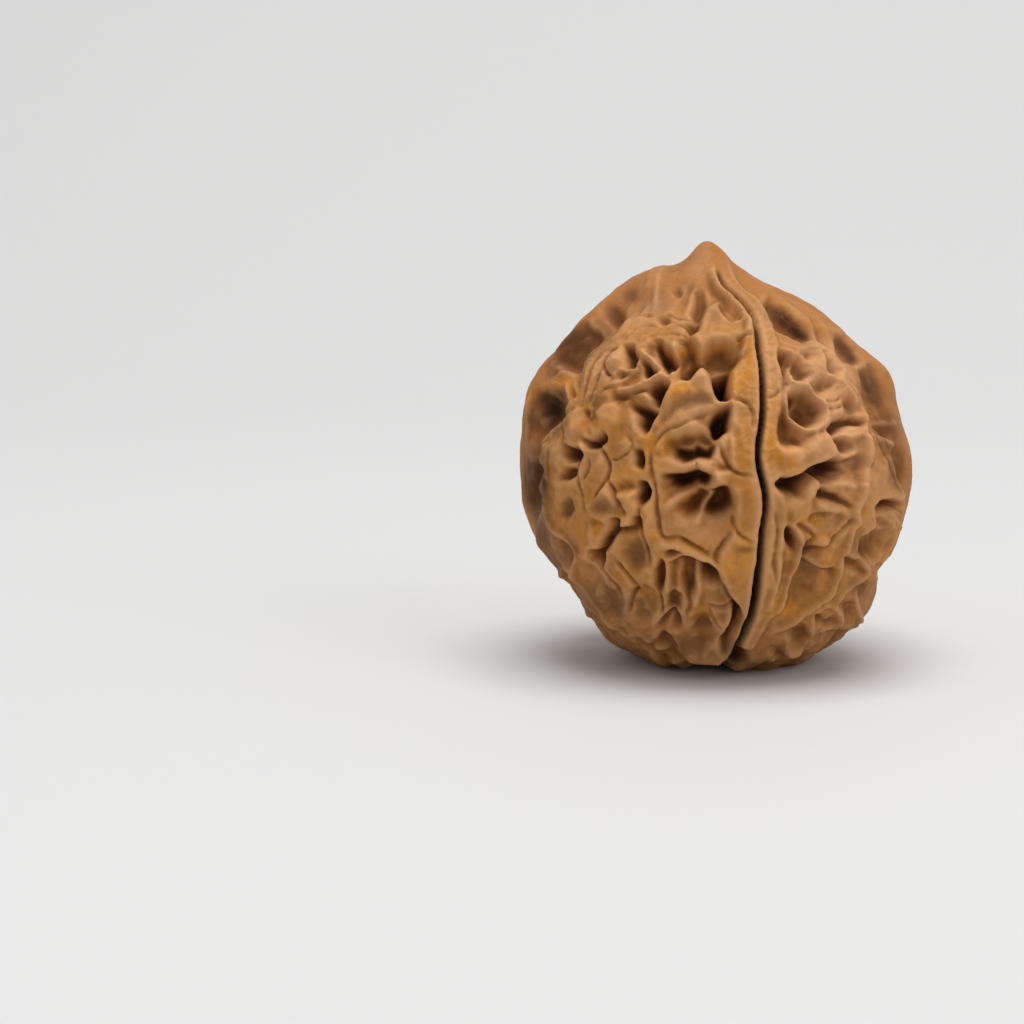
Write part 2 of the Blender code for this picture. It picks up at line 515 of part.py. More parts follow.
def holes(relief):
    """The front's holes, each a closed outline with a steep or a sloping side, and the ledges over them."""
    for depth, edge, outline in (
            # The funnel and the two black holes beside the seam.
            (1.7, 0.7, [(702, 356), (712, 350), (722, 349), (731, 354), (737, 362), (733, 369), (728, 374),
                        (728, 386), (713, 386), (708, 374), (704, 368), (700, 363)]),
            (3.6, 0.35, [(712, 377), (728, 372), (729, 399), (720, 400), (716, 394)]),
            (3.8, 0.35, [(717, 411), (728, 407), (727, 431), (721, 435), (716, 439), (711, 434), (709, 425),
                         (713, 417)]),
            (0.9, 0.7, [(700, 422), (712, 415), (716, 440), (708, 446), (700, 438)]),
            # The crevice and the cavern under its ledge.
            (1.2, 0.8, [(671, 441), (684, 435), (700, 434), (712, 440), (713, 449), (700, 450), (680, 451),
                        (670, 448)]),
            (2.7, 0.32, [(676, 448), (684, 450), (690, 451), (696, 447), (702, 449), (707, 451), (713, 447),
                         (710, 458), (702, 457), (697, 457), (690, 461), (683, 461), (677, 455)]),
            (1.3, 1.3, [(667, 478), (690, 475), (706, 480), (712, 488), (722, 486), (731, 488), (734, 505),
                        (728, 520), (716, 527), (700, 524), (686, 514), (674, 502), (666, 490)]),
            (2.1, 0.40, [(666, 476), (676, 476), (690, 474), (698, 472), (711, 478), (709, 486), (698, 482),
                         (690, 488), (680, 489), (671, 486), (671, 480)]),
            (2.3, 0.50, [(718, 491), (728, 488), (733, 497), (732, 507), (722, 514), (712, 517), (704, 512),
                         (710, 501)]),
            (1.5, 0.50, [(699, 492), (710, 494), (706, 503), (698, 511), (686, 515), (681, 509), (690, 500)]),
            # The pitted crown of the left half.
            (1.8, 0.60, [(680, 352), (686, 348), (692, 349), (699, 358), (702, 366), (696, 374), (688, 382),
                         (681, 378), (676, 369), (676, 359)]),
            (1.2, 0.50, [(690, 360), (700, 364), (696, 373), (688, 380), (682, 374)]),
            (2.2, 0.35, [(658, 345), (663, 351), (671, 354), (676, 362), (674, 371), (669, 376), (664, 368),
                         (660, 360)]),
            (0.9, 0.50, [(648, 348), (654, 342), (662, 341), (667, 350), (662, 360), (654, 356)]),
            (2.2, 0.30, [(645, 364), (650, 367), (657, 374), (650, 380), (646, 375)]),
            (1.8, 0.40, [(626, 348), (632, 349), (636, 358), (634, 369), (629, 367), (627, 358)]),
            (2.4, 0.40, [(654, 388), (661, 384), (669, 387), (667, 395), (662, 402), (658, 408), (654, 401),
                         (651, 394)]),
            (2.7, 0.35, [(635, 408), (647, 409), (657, 413), (652, 421), (647, 429), (644, 433), (640, 425),
                         (641, 416)]),
            (0.7, 0.60, [(628, 402), (642, 402), (654, 408), (648, 416), (634, 414)]),
            (0.8, 0.30, [(659, 321), (664, 327), (671, 325), (669, 320)]),
            (1.0, 0.40, [(686, 328), (692, 325), (699, 326), (697, 335), (690, 336)]),
            (0.7, 0.40, [(674, 290), (678, 287), (682, 291), (678, 296)]),
            (1.1, 0.60, [(697, 292), (702, 290), (705, 302), (702, 316), (696, 322), (692, 312)]),
            (0.7, 0.40, [(678, 342), (687, 340), (692, 344), (686, 348), (679, 347)]),
            # The left flank.
            (2.6, 0.35, [(566, 446), (574, 448), (582, 448), (584, 453), (580, 460), (573, 460), (566, 456)]),
            (2.0, 0.30, [(587, 440), (595, 443), (602, 439), (608, 433), (607, 442), (599, 448), (591, 448)]),
            (1.7, 0.35, [(568, 470), (578, 468), (577, 475), (569, 480), (563, 477)]),
            (2.0, 0.30, [(637, 450), (642, 451), (644, 460), (642, 468), (637, 465), (638, 457)]),
            (2.8, 0.30, [(640, 483), (646, 484), (650, 492), (647, 500), (641, 505), (637, 499), (641, 492)]),
            (0.8, 0.50, [(618, 483), (630, 482), (642, 485), (640, 492), (628, 491), (618, 490)]),
            (2.2, 0.30, [(616, 516), (622, 518), (620, 528), (615, 536), (609, 545), (603, 550), (606, 539),
                         (612, 529)]),
            (1.8, 0.28, [(636, 516), (641, 518), (641, 528), (634, 530), (621, 531), (621, 527), (634, 525)]),
            (2.4, 0.35, [(592, 550), (600, 550), (605, 548), (605, 557), (602, 567), (597, 561), (593, 557)]),
            (1.0, 0.80, [(628, 542), (640, 538), (648, 548), (646, 561), (636, 568), (629, 559), (626, 550)]),
            (1.0, 0.70, [(561, 538), (570, 540), (577, 549), (576, 561), (566, 558), (560, 548)]),
            (0.7, 0.50, [(563, 502), (571, 500), (575, 508), (570, 517), (563, 513)]),
            (0.9, 0.70, [(607, 585), (616, 590), (625, 604), (622, 614), (612, 610), (603, 596)]),
            (0.9, 0.70, [(583, 562), (593, 562), (600, 572), (604, 584), (596, 588), (587, 576)]),
            (0.8, 0.60, [(572, 576), (582, 584), (590, 598), (586, 604), (574, 592)]),
            # The lower front.
            (1.1, 0.30, [(668, 549), (674, 547), (681, 550), (676, 554), (669, 553)]),
            (1.9, 0.40, [(655, 570), (661, 559), (664, 566), (666, 576), (664, 586), (659, 591), (656, 580)]),
            (1.5, 0.50, [(680, 560), (690, 557), (696, 562), (697, 580), (695, 592), (688, 596), (681, 583)]),
            (1.4, 0.45, [(699, 561), (708, 561), (715, 568), (718, 579), (710, 582), (703, 577)]),
            (0.9, 0.50, [(670, 564), (677, 563), (678, 580), (675, 588), (670, 580)]),
            (1.1, 0.60, [(666, 597), (673, 592), (680, 597), (680, 606), (673, 611), (667, 606)]),
            (1.3, 0.50, [(658, 636), (664, 630), (671, 634), (677, 645), (682, 656), (668, 657), (660, 649)]),
            (0.7, 0.60, [(695, 618), (704, 615), (709, 622), (702, 631), (693, 628)]),
            (2.6, 0.35, [(733, 601), (738, 605), (740, 614), (736, 625), (729, 634), (724, 642), (721, 635),
                         (728, 628), (733, 617)]),
            (0.6, 0.50, [(634, 588), (644, 584), (656, 590), (660, 600), (652, 618), (640, 618), (633, 606)]),
            # The right half.
            (1.4, 0.45, [(777, 356), (784, 354), (789, 362), (788, 373), (783, 379), (779, 369)]),
            (1.4, 0.45, [(790, 361), (796, 359), (804, 366), (808, 375), (803, 382), (794, 381), (790, 373)]),
            (0.6, 0.40, [(801, 353), (808, 352), (811, 357), (805, 360)]),
            (1.4, 0.50, [(820, 351), (828, 350), (835, 360), (840, 369), (834, 375), (827, 373), (825, 362)]),
            (1.0, 0.60, [(810, 384), (820, 380), (830, 384), (827, 391), (818, 398), (811, 391)]),
            (1.9, 0.45, [(788, 397), (796, 393), (806, 395), (815, 402), (820, 412), (816, 422), (805, 427),
                         (795, 423), (789, 415), (787, 405)]),
            (0.8, 0.30, [(788, 396), (795, 395), (797, 401), (791, 405)]),
            (0.8, 0.40, [(799, 406), (806, 403), (812, 410), (809, 419), (801, 419)]),
            (1.4, 0.70, [(776, 420), (782, 411), (787, 417), (790, 428), (797, 441), (799, 447), (789, 446),
                         (781, 442), (776, 432)]),
            (0.8, 0.60, [(841, 399), (850, 401), (856, 410), (851, 419), (843, 417)]),
            (1.7, 0.35, [(826, 430), (832, 423), (842, 420), (852, 419), (861, 424), (850, 426), (842, 428),
                         (834, 434), (828, 437)]),
            (1.0, 0.45, [(828, 441), (838, 440), (848, 445), (843, 452), (833, 451)]),
            (2.9, 0.35, [(774, 483), (782, 479), (790, 481), (800, 476), (807, 470), (811, 474), (806, 480),
                         (801, 487), (798, 493), (788, 493), (779, 489)]),
            (2.5, 0.40, [(809, 468), (820, 465), (831, 459), (841, 462), (843, 470), (833, 477), (822, 479),
                         (815, 475)]),
            (0.7, 0.70, [(834, 460), (850, 458), (860, 466), (856, 478), (842, 478), (834, 472)]),
            (1.6, 0.32, [(815, 492), (820, 488), (828, 492), (838, 496), (848, 506), (838, 502), (828, 499),
                         (818, 498)]),
            (1.7, 0.35, [(786, 527), (791, 530), (795, 540), (792, 549), (787, 543), (785, 535)]),
            (1.0, 0.70, [(799, 546), (808, 544), (816, 550), (810, 558), (800, 560)]),
            (1.3, 0.90, [(795, 570), (806, 566), (816, 576), (812, 594), (798, 606), (787, 604), (788, 590)]),
            (1.7, 0.35, [(868, 505), (874, 499), (882, 497), (890, 502), (881, 505), (874, 510)]),
            (1.5, 0.50, [(859, 535), (870, 526), (879, 530), (879, 543), (872, 553), (862, 556), (858, 546)]),
            (0.8, 0.50, [(870, 512), (878, 514), (880, 526), (872, 526)]),
            (1.1, 0.40, [(840, 554), (848, 557), (857, 560), (857, 567), (846, 565)]),
            (0.9, 0.40, [(871, 561), (878, 559), (883, 566), (878, 573), (871, 569)]),
            (1.0, 0.60, [(851, 581), (860, 577), (868, 582), (865, 593), (856, 599), (851, 593)]),
            (0.8, 0.50, [(836, 598), (844, 596), (846, 608), (838, 614)]),
            (0.9, 0.35, [(814, 612), (821, 615), (828, 610), (831, 616), (823, 620), (815, 618)]),
            (0.8, 0.60, [(790, 628), (800, 624), (807, 632), (800, 640), (791, 638)]),
            (0.8, 0.50, [(771, 642), (781, 640), (785, 648), (776, 652)])):
        relief.terrace(outline, -depth, edge)
    for depth, reach, line in (
            (1.8, 2.2, [(661, 474), (672, 474), (682, 475), (690, 472), (697, 470), (705, 474), (713, 480)]),
            (1.1, 3.0, [(664, 562), (674, 560), (682, 557), (690, 555), (698, 558), (706, 560), (714, 566),
                        (718, 574), (720, 583)]),
            (1.8, 1.5, [(658, 625), (664, 617), (671, 613), (677, 617), (682, 628)]),
            (1.0, 1.6, [(588, 410), (592, 419), (600, 413)]),
            (0.8, 1.2, [(616, 392), (624, 397), (636, 398), (648, 401)]),
            (0.9, 1.4, [(620, 379), (632, 374), (638, 365)]),
            (0.9, 1.5, [(640, 529), (630, 531), (620, 530)][::-1]),
            (1.2, 2.2, [(776, 481), (790, 480), (802, 474), (810, 467), (824, 463), (836, 456)]),
            (0.9, 2.0, [(812, 467), (826, 462), (846, 458), (858, 452)]),
            (0.8, 1.8, [(806, 520), (812, 514), (830, 512), (848, 518)]),
            (0.8, 2.5, [(836, 567), (824, 569), (812, 566), (796, 559)][::-1]),
            (0.8, 1.6, [(867, 524), (859, 533), (857, 545), (858, 560)][::-1]),
            (1.0, 1.5, [(808, 632), (820, 627), (836, 625), (848, 620)]),
            (0.7, 1.5, [(612, 622), (626, 631), (644, 640), (660, 636)])):
        relief.step(line, depth, reach)


def lumps(relief):
    """The round lumps of the front, and the soft dishes between them."""
    for pixel, half_wide, half_tall, height, lean in (
            ((705, 383), 1.2, 1.3, 0.5, 0), ((742, 440), 1.2, 2.6, 0.35, 0), ((690, 430), 2.4, 0.9, 0.4, -20),
            ((715, 484), 0.9, 0.7, 1.0, 0), ((650, 518), 0.8, 2.2, 0.4, 0), ((617, 362), 1.1, 1.3, 0.5, 0),
            ((588, 449), 0.6, 0.6, 0.5, 0), ((560, 455), 1.1, 1.8, 0.4, 0), ((603, 462), 0.8, 1.8, 0.35, 0),
            ((581, 428), 1.0, 1.3, 0.4, 0), ((608, 420), 1.3, 1.3, 0.4, 0), ((612, 396), 1.3, 1.0, 0.3, 0),
            ((628, 447), 1.1, 1.1, 0.35, 0), ((562, 495), 0.8, 2.0, 0.3, 0), ((598, 535), 1.0, 1.4, 0.4, 0),
            ((648, 605), 1.4, 1.7, 0.5, 0), ((664, 646), 0.9, 0.7, 0.8, 0), ((628, 585), 0.8, 1.8, 0.35, 20),
            ((706, 648), 1.8, 1.2, 0.5, 0), ((727, 560), 1.0, 2.0, 0.3, 0), ((722, 616), 1.0, 1.2, 0.3, 0),
            ((781, 453), 0.8, 1.1, 0.5, 0), ((792, 460), 1.1, 1.4, 0.5, 0), ((808, 448), 1.3, 1.6, 0.4, 0),
            ((789, 483), 0.5, 0.4, 0.9, 0), ((820, 540), 1.0, 0.8, 0.5, 0), ((823, 556), 0.9, 0.7, 0.3, 0),
            ((823, 614), 0.7, 0.5, 0.5, 0), ((880, 441), 0.7, 0.8, 0.5, 0), ((874, 472), 0.9, 2.0, 0.3, 0),
            ((815, 370), 1.0, 1.2, 0.3, 0), ((840, 392), 0.9, 0.9, 0.3, 0), ((776, 600), 1.4, 1.6, 0.3, 0),
            ((838, 532), 0.9, 2.2, 0.3, 25), ((790, 645), 1.4, 0.9, 0.4, 0), ((770, 575), 1.0, 2.4, 0.3, 0),
            ((600, 500), 7.5, 9.0, 0.4, 0), ((668, 400), 4.5, 4.5, 0.4, 0), ((820, 440), 4.5, 6.0, 0.3, 0)):
        near, strength = relief.oval(pixel, half_wide, half_tall, lean, 1.1)
        relief.lift[near] += height * strength
    # The crumbly patch by the long crack, and the gritty wedge and crater floor.
    if relief.finest > 0.3:
        return
    grit = relief.rolling(0.5, 11) + 0.5 * relief.rolling(0.28, 23)
    for pixel, half_wide, half_tall, lean in (((601, 531), 0.9, 1.5, -15), ((622, 374), 1.2, 0.6, -30),
                                              ((794, 411), 0.6, 1.3, 0), ((596, 408), 0.4, 1.2, 10)):
        near, strength = relief.oval(pixel, half_wide, half_tall, lean, 0.6)
        relief.lift[near] += 0.42 * strength * grit[near]


def seam(relief):
    """The raised rims on each side of the seam, and the crack that parts them, all the way round."""
    # On the left a flat strip, cut back by the holes, and on the right a narrow round ridge.
    relief.terrace([(706, 243), (711, 259), (719, 280), (734, 300), (748, 319), (755, 345), (759, 380),
                    (760, 420), (757, 460), (764, 502), (760, 540), (756, 585), (751, 613), (738, 636),
                    (728, 654), (724, 648), (733, 634), (741, 616), (738, 602), (728, 588), (724, 574),
                    (718, 556), (725, 541), (732, 528), (734, 508), (730, 490), (716, 482), (713, 474),
                    (730, 470), (729, 458), (729, 432), (729, 400), (729, 374), (737, 362), (742, 346),
                    (744, 325), (737, 312), (728, 301), (716, 290), (706, 270), (701, 246)], 0.6, 0.3, steady=True)
    relief.stroke(smooth_route(seen(RIGHT_RIM)), 1.3, 0.7, flat_topped, tapered=False, steady=True)
    relief.stroke(smooth_route(seen([(704, 243), (709, 262), (717, 283), (731, 303), (744, 321), (750, 338)])),
                  0.8, 0.55, rounded)
    relief.stroke(smooth_route(seen(SEAM_LINE)), 0.6, -0.20, rounded, tapered=False, steady=True)
    relief.stroke(smooth_route(seen(SEAM_LINE[:5])), 0.30, -0.5, rounded, steady=True)
    relief.stroke(smooth_route(seen(SEAM_LINE[4:])), 0.25, -1.4, flat_topped, tapered=False, steady=True)
    relief.stroke(smooth_route(seen([(758, 560), (755, 585), (752, 606), (743, 626)])), 0.45, -0.9,
                  flat_topped, steady=True)

    # Behind, the seam wanders down from the tip and under the base to meet the front's end.
    under = np.vstack([around(BACK_SEAM[-2:]), around([(SEAM_TURN, 179), (14, 168)]), seen([(728, 654)])])
    for side in (-6, 6):
        rim = [(turn + side, fall) for turn, fall in BACK_SEAM[1:-1]]
        relief.stroke(smooth_route(around(rim)), 1.6, 0.9, flat_topped)
    relief.stroke(smooth_route(around(BACK_SEAM)), 0.45, -1.4, flat_topped, tapered=False, steady=True)
    relief.stroke(smooth_route(under), 0.8, -1.6, rounded, tapered=False)


def crumple(relief):
    """Round lumps parted by creases, strong on the lumpy back and faint on the front, sides and rims."""
    rim = relief.share(smooth_route(seen(SEAM_LINE)), 3.2, flat_topped, tapered=False, steady=True)
    front = relief.lumpy(1) * (1 - 0.8 * rim)
    below = np.clip((relief.fall - 112) / 18, 0, 1)
    rough = relief.lumpy(-1) * (1 - 0.45 * below) + front * (0.10 + 0.35 * below)
    relief.lift += (0.10 + 0.52 * rough) * (2.2 * np.abs(relief.rolling(4.6)) - 0.6)
    relief.lift += (0.05 + 0.26 * rough) * (1.8 * np.abs(relief.rolling(2.0, 30)) - 0.45)
    relief.lift += (0.02 + 0.08 * rough) * relief.rolling(0.9, 60)
    relief.lift += 0.35 * relief.rolling(9.0, 90)


def net_of_cells(relief, strength):
    """Cells with sunk middles and a raised net between them, as on a face that wasn't drawn by eye."""
    draw = random.Random(SEED)
    count = 170
    spots = []
    for index in range(count):
        level = 1 - 2 * (index + 0.5) / count
        turn = index * math.pi * (3 - math.sqrt(5)) + draw.uniform(-0.15, 0.15)
        level = min(max(level + draw.uniform(-0.02, 0.02), -1), 1)
        spots.append((math.sqrt(1 - level**2) * math.cos(turn), math.sqrt(1 - level**2) * math.sin(turn), level))
    spots = plain(np.array(spots))
    depth = np.array([draw.choice((0.4, 0.7, 0.9, 1.3, 2.6)) for _ in range(count)])
    stretch = np.array([1.0, 1.0, 0.75])
    gaps = np.stack([(((relief.query - spot) * stretch) ** 2).sum(axis=1) for spot in spots], axis=1)
    nearest = np.argpartition(gaps, 1, axis=1)[:, :2]
    pair = np.sqrt(np.take_along_axis(gaps, nearest, axis=1))
    first, second = pair.min(axis=1), pair.max(axis=1)
    own = nearest[np.arange(len(gaps)), pair.argmin(axis=1)]
    inward = np.clip((second - first) / (0.75 * (second + first)), 0, 1)
    relief.lift += strength * (0.35 - depth[own] * inward**1.3)


def back_and_base(relief):
    """The back's own seam, valleys, ribs and holes, and the hollow that the stem left in the base."""
    def rib(turns_falls, half_width, height):
        relief.stroke(smooth_route(around(turns_falls)), half_width, height, rounded)

    net_of_cells(relief, relief.lumpy(-1))
    for side in (-1, 1):
        rib([(180 + side * 42, 30), (180 + side * 52, 45), (180 + side * 62, 62), (180 + side * 70, 82),
             (180 + side * 70, 100), (180 + side * 66, 120)], 2.6, -1.6)
        rib([(180 + side * 34, 36), (180 + side * 46, 52), (180 + side * 56, 72), (180 + side * 60, 92),
             (180 + side * 60, 112), (180 + side * 62, 132)], 1.1, 0.7)
        rib([(180 + side * 18, 50), (180 + side * 24, 70), (180 + side * 27, 95), (180 + side * 26, 120)], 0.9, 0.9)
        rib([(side * 88, 30), (side * 90, 50), (side * 91, 75), (side * 90, 100), (side * 88, 125)], 4.0, 0.5)
    draw = random.Random(SEED + 1)
    for _ in range(34):
        centre = around([(180 + draw.uniform(-56, 56), draw.uniform(42, 132))])[0]
        wide, deep, lean = draw.uniform(0.5, 1.1), draw.uniform(1.0, 2.4), draw.uniform(-40, 40)
        for margin, part, wall in ((0.8, 0.35, 1.15), (0.0, 0.75, 0.7)):
            half_wide = max(wide + margin, relief.finest)
            near, strength = relief.oval_at(centre, half_wide, 1.3 * wide + margin, lean, wall)
            relief.lift[near] -= part * deep * strength
    for turn in (-70, -35, 60, 95, 140, 205, 240):
        furrow = smooth_route(around([(turn - 4, 138), (turn + 3, 150), (turn - 2, 161)]))
        relief.stroke(furrow, 0.9, -0.5, rounded)
    near, strength = relief.oval_at(around([(0, 179.9)])[0], 2.6, 2.6, 0.0, 0.7)
    relief.lift[near] -= 1.6 * strength


def softened(values, ends, rounds):
    """The values at the points, each drawn as many times as asked towards the mean of its neighbours."""
    count = len(values)
    neighbours = np.bincount(ends.ravel(), minlength=count)
    for _ in range(rounds):
        total = np.bincount(ends[:, 0], values[ends[:, 1]], count)
        total += np.bincount(ends[:, 1], values[ends[:, 0]], count)
        values = 0.5 * values + 0.5 * total / neighbours
    return values


def shell_relief(directions, ends, spacing, finest):
    """Every form of the shell laid onto its plain form. The coarse ones are softened, the fine ones
    stay crisp."""
    relief = Relief(directions, finest)
    crumple(relief)
    back_and_base(relief)
    lumpy_front(relief)
    plates_and_ribs(relief)
    holes(relief)
    lumps(relief)
    relief.lift = softened(relief.lift, ends, round((2 * SOFTNESS / spacing) ** 2))
    grooves(relief)
    seam(relief)
    relief.lift *= 0.15 + 0.85 * np.clip((relief.fall - 3) / 15, 0, 1)
    return relief


def cube_ball(cells):
    """A cube with a grid on each side, blown up into a ball of even faces, one unit in radius."""
    ball = bmesh.new()
    bmesh.ops.create_cube(ball, size=2)
    bmesh.ops.subdivide_edges(ball, edges=ball.edges[:], cuts=cells - 1, use_grid_fill=True)
    for vert in ball.verts:
        vert.co = Vector([math.tan(axis * math.pi / 4) for axis in vert.co]).normalized()
    return ball


def build_shell(name, cells, finest):
    """One closed shell: the ball's points moved out to the nut's surface."""
    ball = cube_ball(cells)
    directions = np.array([vert.co for vert in ball.verts], float)
    ends = np.array([[vert.index for vert in edge.verts] for edge in ball.edges])
    relief = shell_relief(directions, ends, math.pi / 2 * MIDDLE / cells, finest)
    points = relief.plain + relief.out * relief.lift[:, None]
    points[:, 2] = np.maximum(points[:, 2], 0.0)
    for vert, point in zip(ball.verts, points * MM):
        vert.co = Vector(point)
    mesh = bpy.data.meshes.new(name)
    ball.to_mesh(mesh)
    ball.free()
    mesh.shade_smooth()
    return bpy.data.objects.new(name, mesh)


def thin_out(shell, triangles):
    """Keeps this many triangles, most of them where the surface bends."""
    thinning = shell.modifiers.new("thinning", "DECIMATE")
    thinning.ratio = triangles / (2 * len(shell.data.polygons))
    finished = bpy.data.meshes.new_from_object(shell.evaluated_get(bpy.context.evaluated_depsgraph_get()))
    shell.modifiers.remove(thinning)
    shell.data = finished


def stand_and_centre(shell):
    """Presses the lowest points level and puts the shell's middle over the origin."""
    points = np.array([vert.co for vert in shell.data.vertices], float)
    points[points[:, 2] < LEVEL_BELOW * MM, 2] = 0.0
    middle = (points.min(axis=0) + points.max(axis=0)) / 2
    points -= (middle[0], middle[1], 0.0)
    for vert, point in zip(shell.data.vertices, points):
        vert.co = point


def shell_material():
    """Dry, hard shell with a waxy handled surface."""
    material = bpy.data.materials.new("walnut_shell")
    material.use_nodes = True
    surface = material.node_tree.nodes["Principled BSDF"]
    surface.inputs["Base Color"].default_value = (0.42, 0.20, 0.075, 1.0)
    surface.inputs["Roughness"].default_value = 0.5
    return material


def main():
    for old in list(bpy.data.objects):
        bpy.data.objects.remove(old)
    nut = bpy.data.collections.new("walnut")
    bpy.context.scene.collection.children.link(nut)
    shell = build_shell("walnut", CUBE_CELLS, finest=0.4)
    nut.objects.link(shell)
    thin_out(shell, TRIANGLES)
    stand_and_centre(shell)
    shell.data.materials.append(shell_material())


main()
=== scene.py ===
"""A walnut in its shell on a pale table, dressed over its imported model. Lengths in the shell's own
section are millimetres, and everything that is placed in the scene is in metres."""

import math
import random

import bmesh
import bpy
import numpy as np
from mathutils import Matrix, Vector, noise


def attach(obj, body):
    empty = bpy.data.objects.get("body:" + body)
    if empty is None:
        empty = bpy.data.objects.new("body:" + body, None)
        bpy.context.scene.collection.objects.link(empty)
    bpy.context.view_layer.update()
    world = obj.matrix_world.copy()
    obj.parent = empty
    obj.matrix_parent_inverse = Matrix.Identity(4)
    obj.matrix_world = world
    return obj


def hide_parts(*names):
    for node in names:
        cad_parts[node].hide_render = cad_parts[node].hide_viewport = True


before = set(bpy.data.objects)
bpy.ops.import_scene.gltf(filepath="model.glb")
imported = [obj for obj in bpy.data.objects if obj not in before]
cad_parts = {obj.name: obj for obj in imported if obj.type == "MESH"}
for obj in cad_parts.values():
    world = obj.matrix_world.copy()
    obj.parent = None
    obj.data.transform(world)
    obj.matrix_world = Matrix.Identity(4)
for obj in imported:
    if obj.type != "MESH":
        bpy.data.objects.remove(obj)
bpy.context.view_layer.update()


# The shell
# A walnut's shell is hard, dry wood that grew in two halves, joined edge to edge along a raised seam.
# It is pitted and ribbed where the husk's veins lay on it and ochre on its high parts, and painted
# shade darkens its pits.
# Driving dimensions of the nut.
MM = 0.001
HEIGHT = 41.9
MIDDLE = 20.0
HEART = (0.0, 0.0, MIDDLE)
LEAN = -0.040

# The plain form's half outline, from the tip down to the base, as (radius, height).
OUTLINE = [
    (0.0, HEIGHT), (0.7, 41.7), (1.3, 41.0), (1.9, 40.3), (2.8, 39.5), (4.0, 38.7), (5.4, 37.8),
    (7.4, 36.7), (9.5, 35.6), (11.9, 33.8), (14.2, 31.9), (16.1, 29.6), (17.3, 27.3), (18.4, 24.1),
    (18.9, 21.4), (19.0, 19.5), (18.8, 17.0), (18.3, 14.5), (17.6, 12.3), (16.4, 9.9), (15.0, 7.4),
    (13.4, 4.7), (11.8, 2.7), (10.4, 1.4), (8.9, 0.4), (7.2, -0.1), (5.5, -0.3), (3.5, 0.1), (0.0, 0.6),
]

# The front's relief is placed in pixels of the reference photograph. Ten of its pixels are a
# millimetre at the nut's axis, and its centre is SHEET_CENTRE. The eye looks down by EYE_FALL.
PIXELS_PER_MM = 10.0
SHEET_CENTRE = (512.0, 512.0)
NUT_MIDDLE_PIXEL = (714.0, 460.0)
EYE_DISTANCE = 300.0
EYE_FALL = math.radians(8.0)

# The front's lumps mostly stand FRONT_LIFT above the plain form, inside an oval of FRONT_RADIUS pixels
# with an edge of FRONT_EDGE pixels. The floors of the long valleys beside them lie VALLEY_DROP below
# it. Both say how far off the plain form lies what the eye sees at a pixel.
FRONT_LIFT = 0.8
FRONT_RADIUS = 145
FRONT_EDGE = 40
FRONT_SQUASH = 0.92
VALLEY_DROP = 0.5

# How far the coarse forms are blurred before the fine ones are laid on, and the finest half width.
SOFTNESS = 0.20
FINEST = 0.17

# Faces along each edge of the cube that is blown up into the shell.
FULL_CELLS = 182
CUBE_CELLS = FULL_CELLS

# The lumpy part of each face, as half its turn round from the seam, for the fall from the tip.
LUMPY_FALL = [0, 22, 35, 50, 75, 95, 130, 155, 180]
LUMPY_TURN = [8, 20, 40, 50, 60, 63, 68, 80, 95]

# The seam's crack, its widest stretch and the ridge on its right, in pixels, and its line behind, as
# turns and falls.
SEAM_LINE = [(706, 243), (711, 259), (719, 280), (734, 300), (748, 319), (755, 345), (759, 380), (760, 420),
             (757, 460), (764, 502), (760, 540), (756, 585), (751, 613), (738, 636), (728, 654)]
WIDE_CRACK = [(758, 560), (755, 585), (752, 606), (743, 626)]
RIGHT_RIM = [(710, 244), (717, 258), (727, 278), (743, 296), (757, 314), (765, 338), (769, 362), (770, 395),
             (767, 430), (766, 460), (771, 485), (777, 505), (776, 530), (771, 560), (767, 585), (761, 612),
             (748, 634)]
SEAM_TURN = 13.0
BACK_SEAM = [(SEAM_TURN + 180, 4), (196, 20), (190, 38), (194, 60), (191, 85), (195, 108), (192, 130),
             (196, 150), (192, 166)]

# The seeds of the random draws and of the sideways shifts, whose noise follows the clock without one.
SEED = 7
NOISE_SEED = 1795868529
noise.seed_set(NOISE_SEED)

# A line fades over this share of its length at each end, to this share of its height. An oval's side
# ends this many times its half width out. A ledge's wall is this wide.
TAPER = 0.18
TAPERED_TO = 0.25
OVAL_EDGE = 1.15
LEDGE_WALL = 0.4


def ramp(values, start, width):
    """0 up to the start, 1 from this width past it, and straight in between."""
    return np.clip((values - start) / width, 0, 1)


def eased(share):
    """A share from 0 to 1 that starts and ends level."""
    return share**2 * (3 - 2 * share)


def outline_table():
    """The plain form's distance from its middle, for every half degree down from the tip."""
    radius, height = np.array(OUTLINE).T
    fall = np.arctan2(radius, height - MIDDLE)
    grid = np.radians(np.arange(0, 180.5, 0.5))
    reach = np.interp(grid, fall, np.hypot(radius, height - MIDDLE))
    blur = np.exp(-(np.arange(-6, 7) / 2.5) ** 2)
    padded = np.concatenate([reach[6:0:-1], reach, reach[-2:-8:-1]])
    return grid, np.convolve(padded, blur / blur.sum(), "valid")


GRID, REACH = outline_table()


def plain(directions):
    """Points on the plain form, straight out from its middle along unit directions, with its lean."""
    fall = np.arccos(np.clip(directions[:, 2], -1, 1))
    points = directions * np.interp(fall, GRID, REACH)[:, None]
    points[:, 0] += LEAN * points[:, 2]
    points[:, 2] += MIDDLE
    return points


def directions_of(points):
    """Unit directions from the form's middle, once its lean is taken out."""
    local = points - HEART
    local[:, 0] -= LEAN * local[:, 2]
    return local / np.linalg.norm(local, axis=1)[:, None]


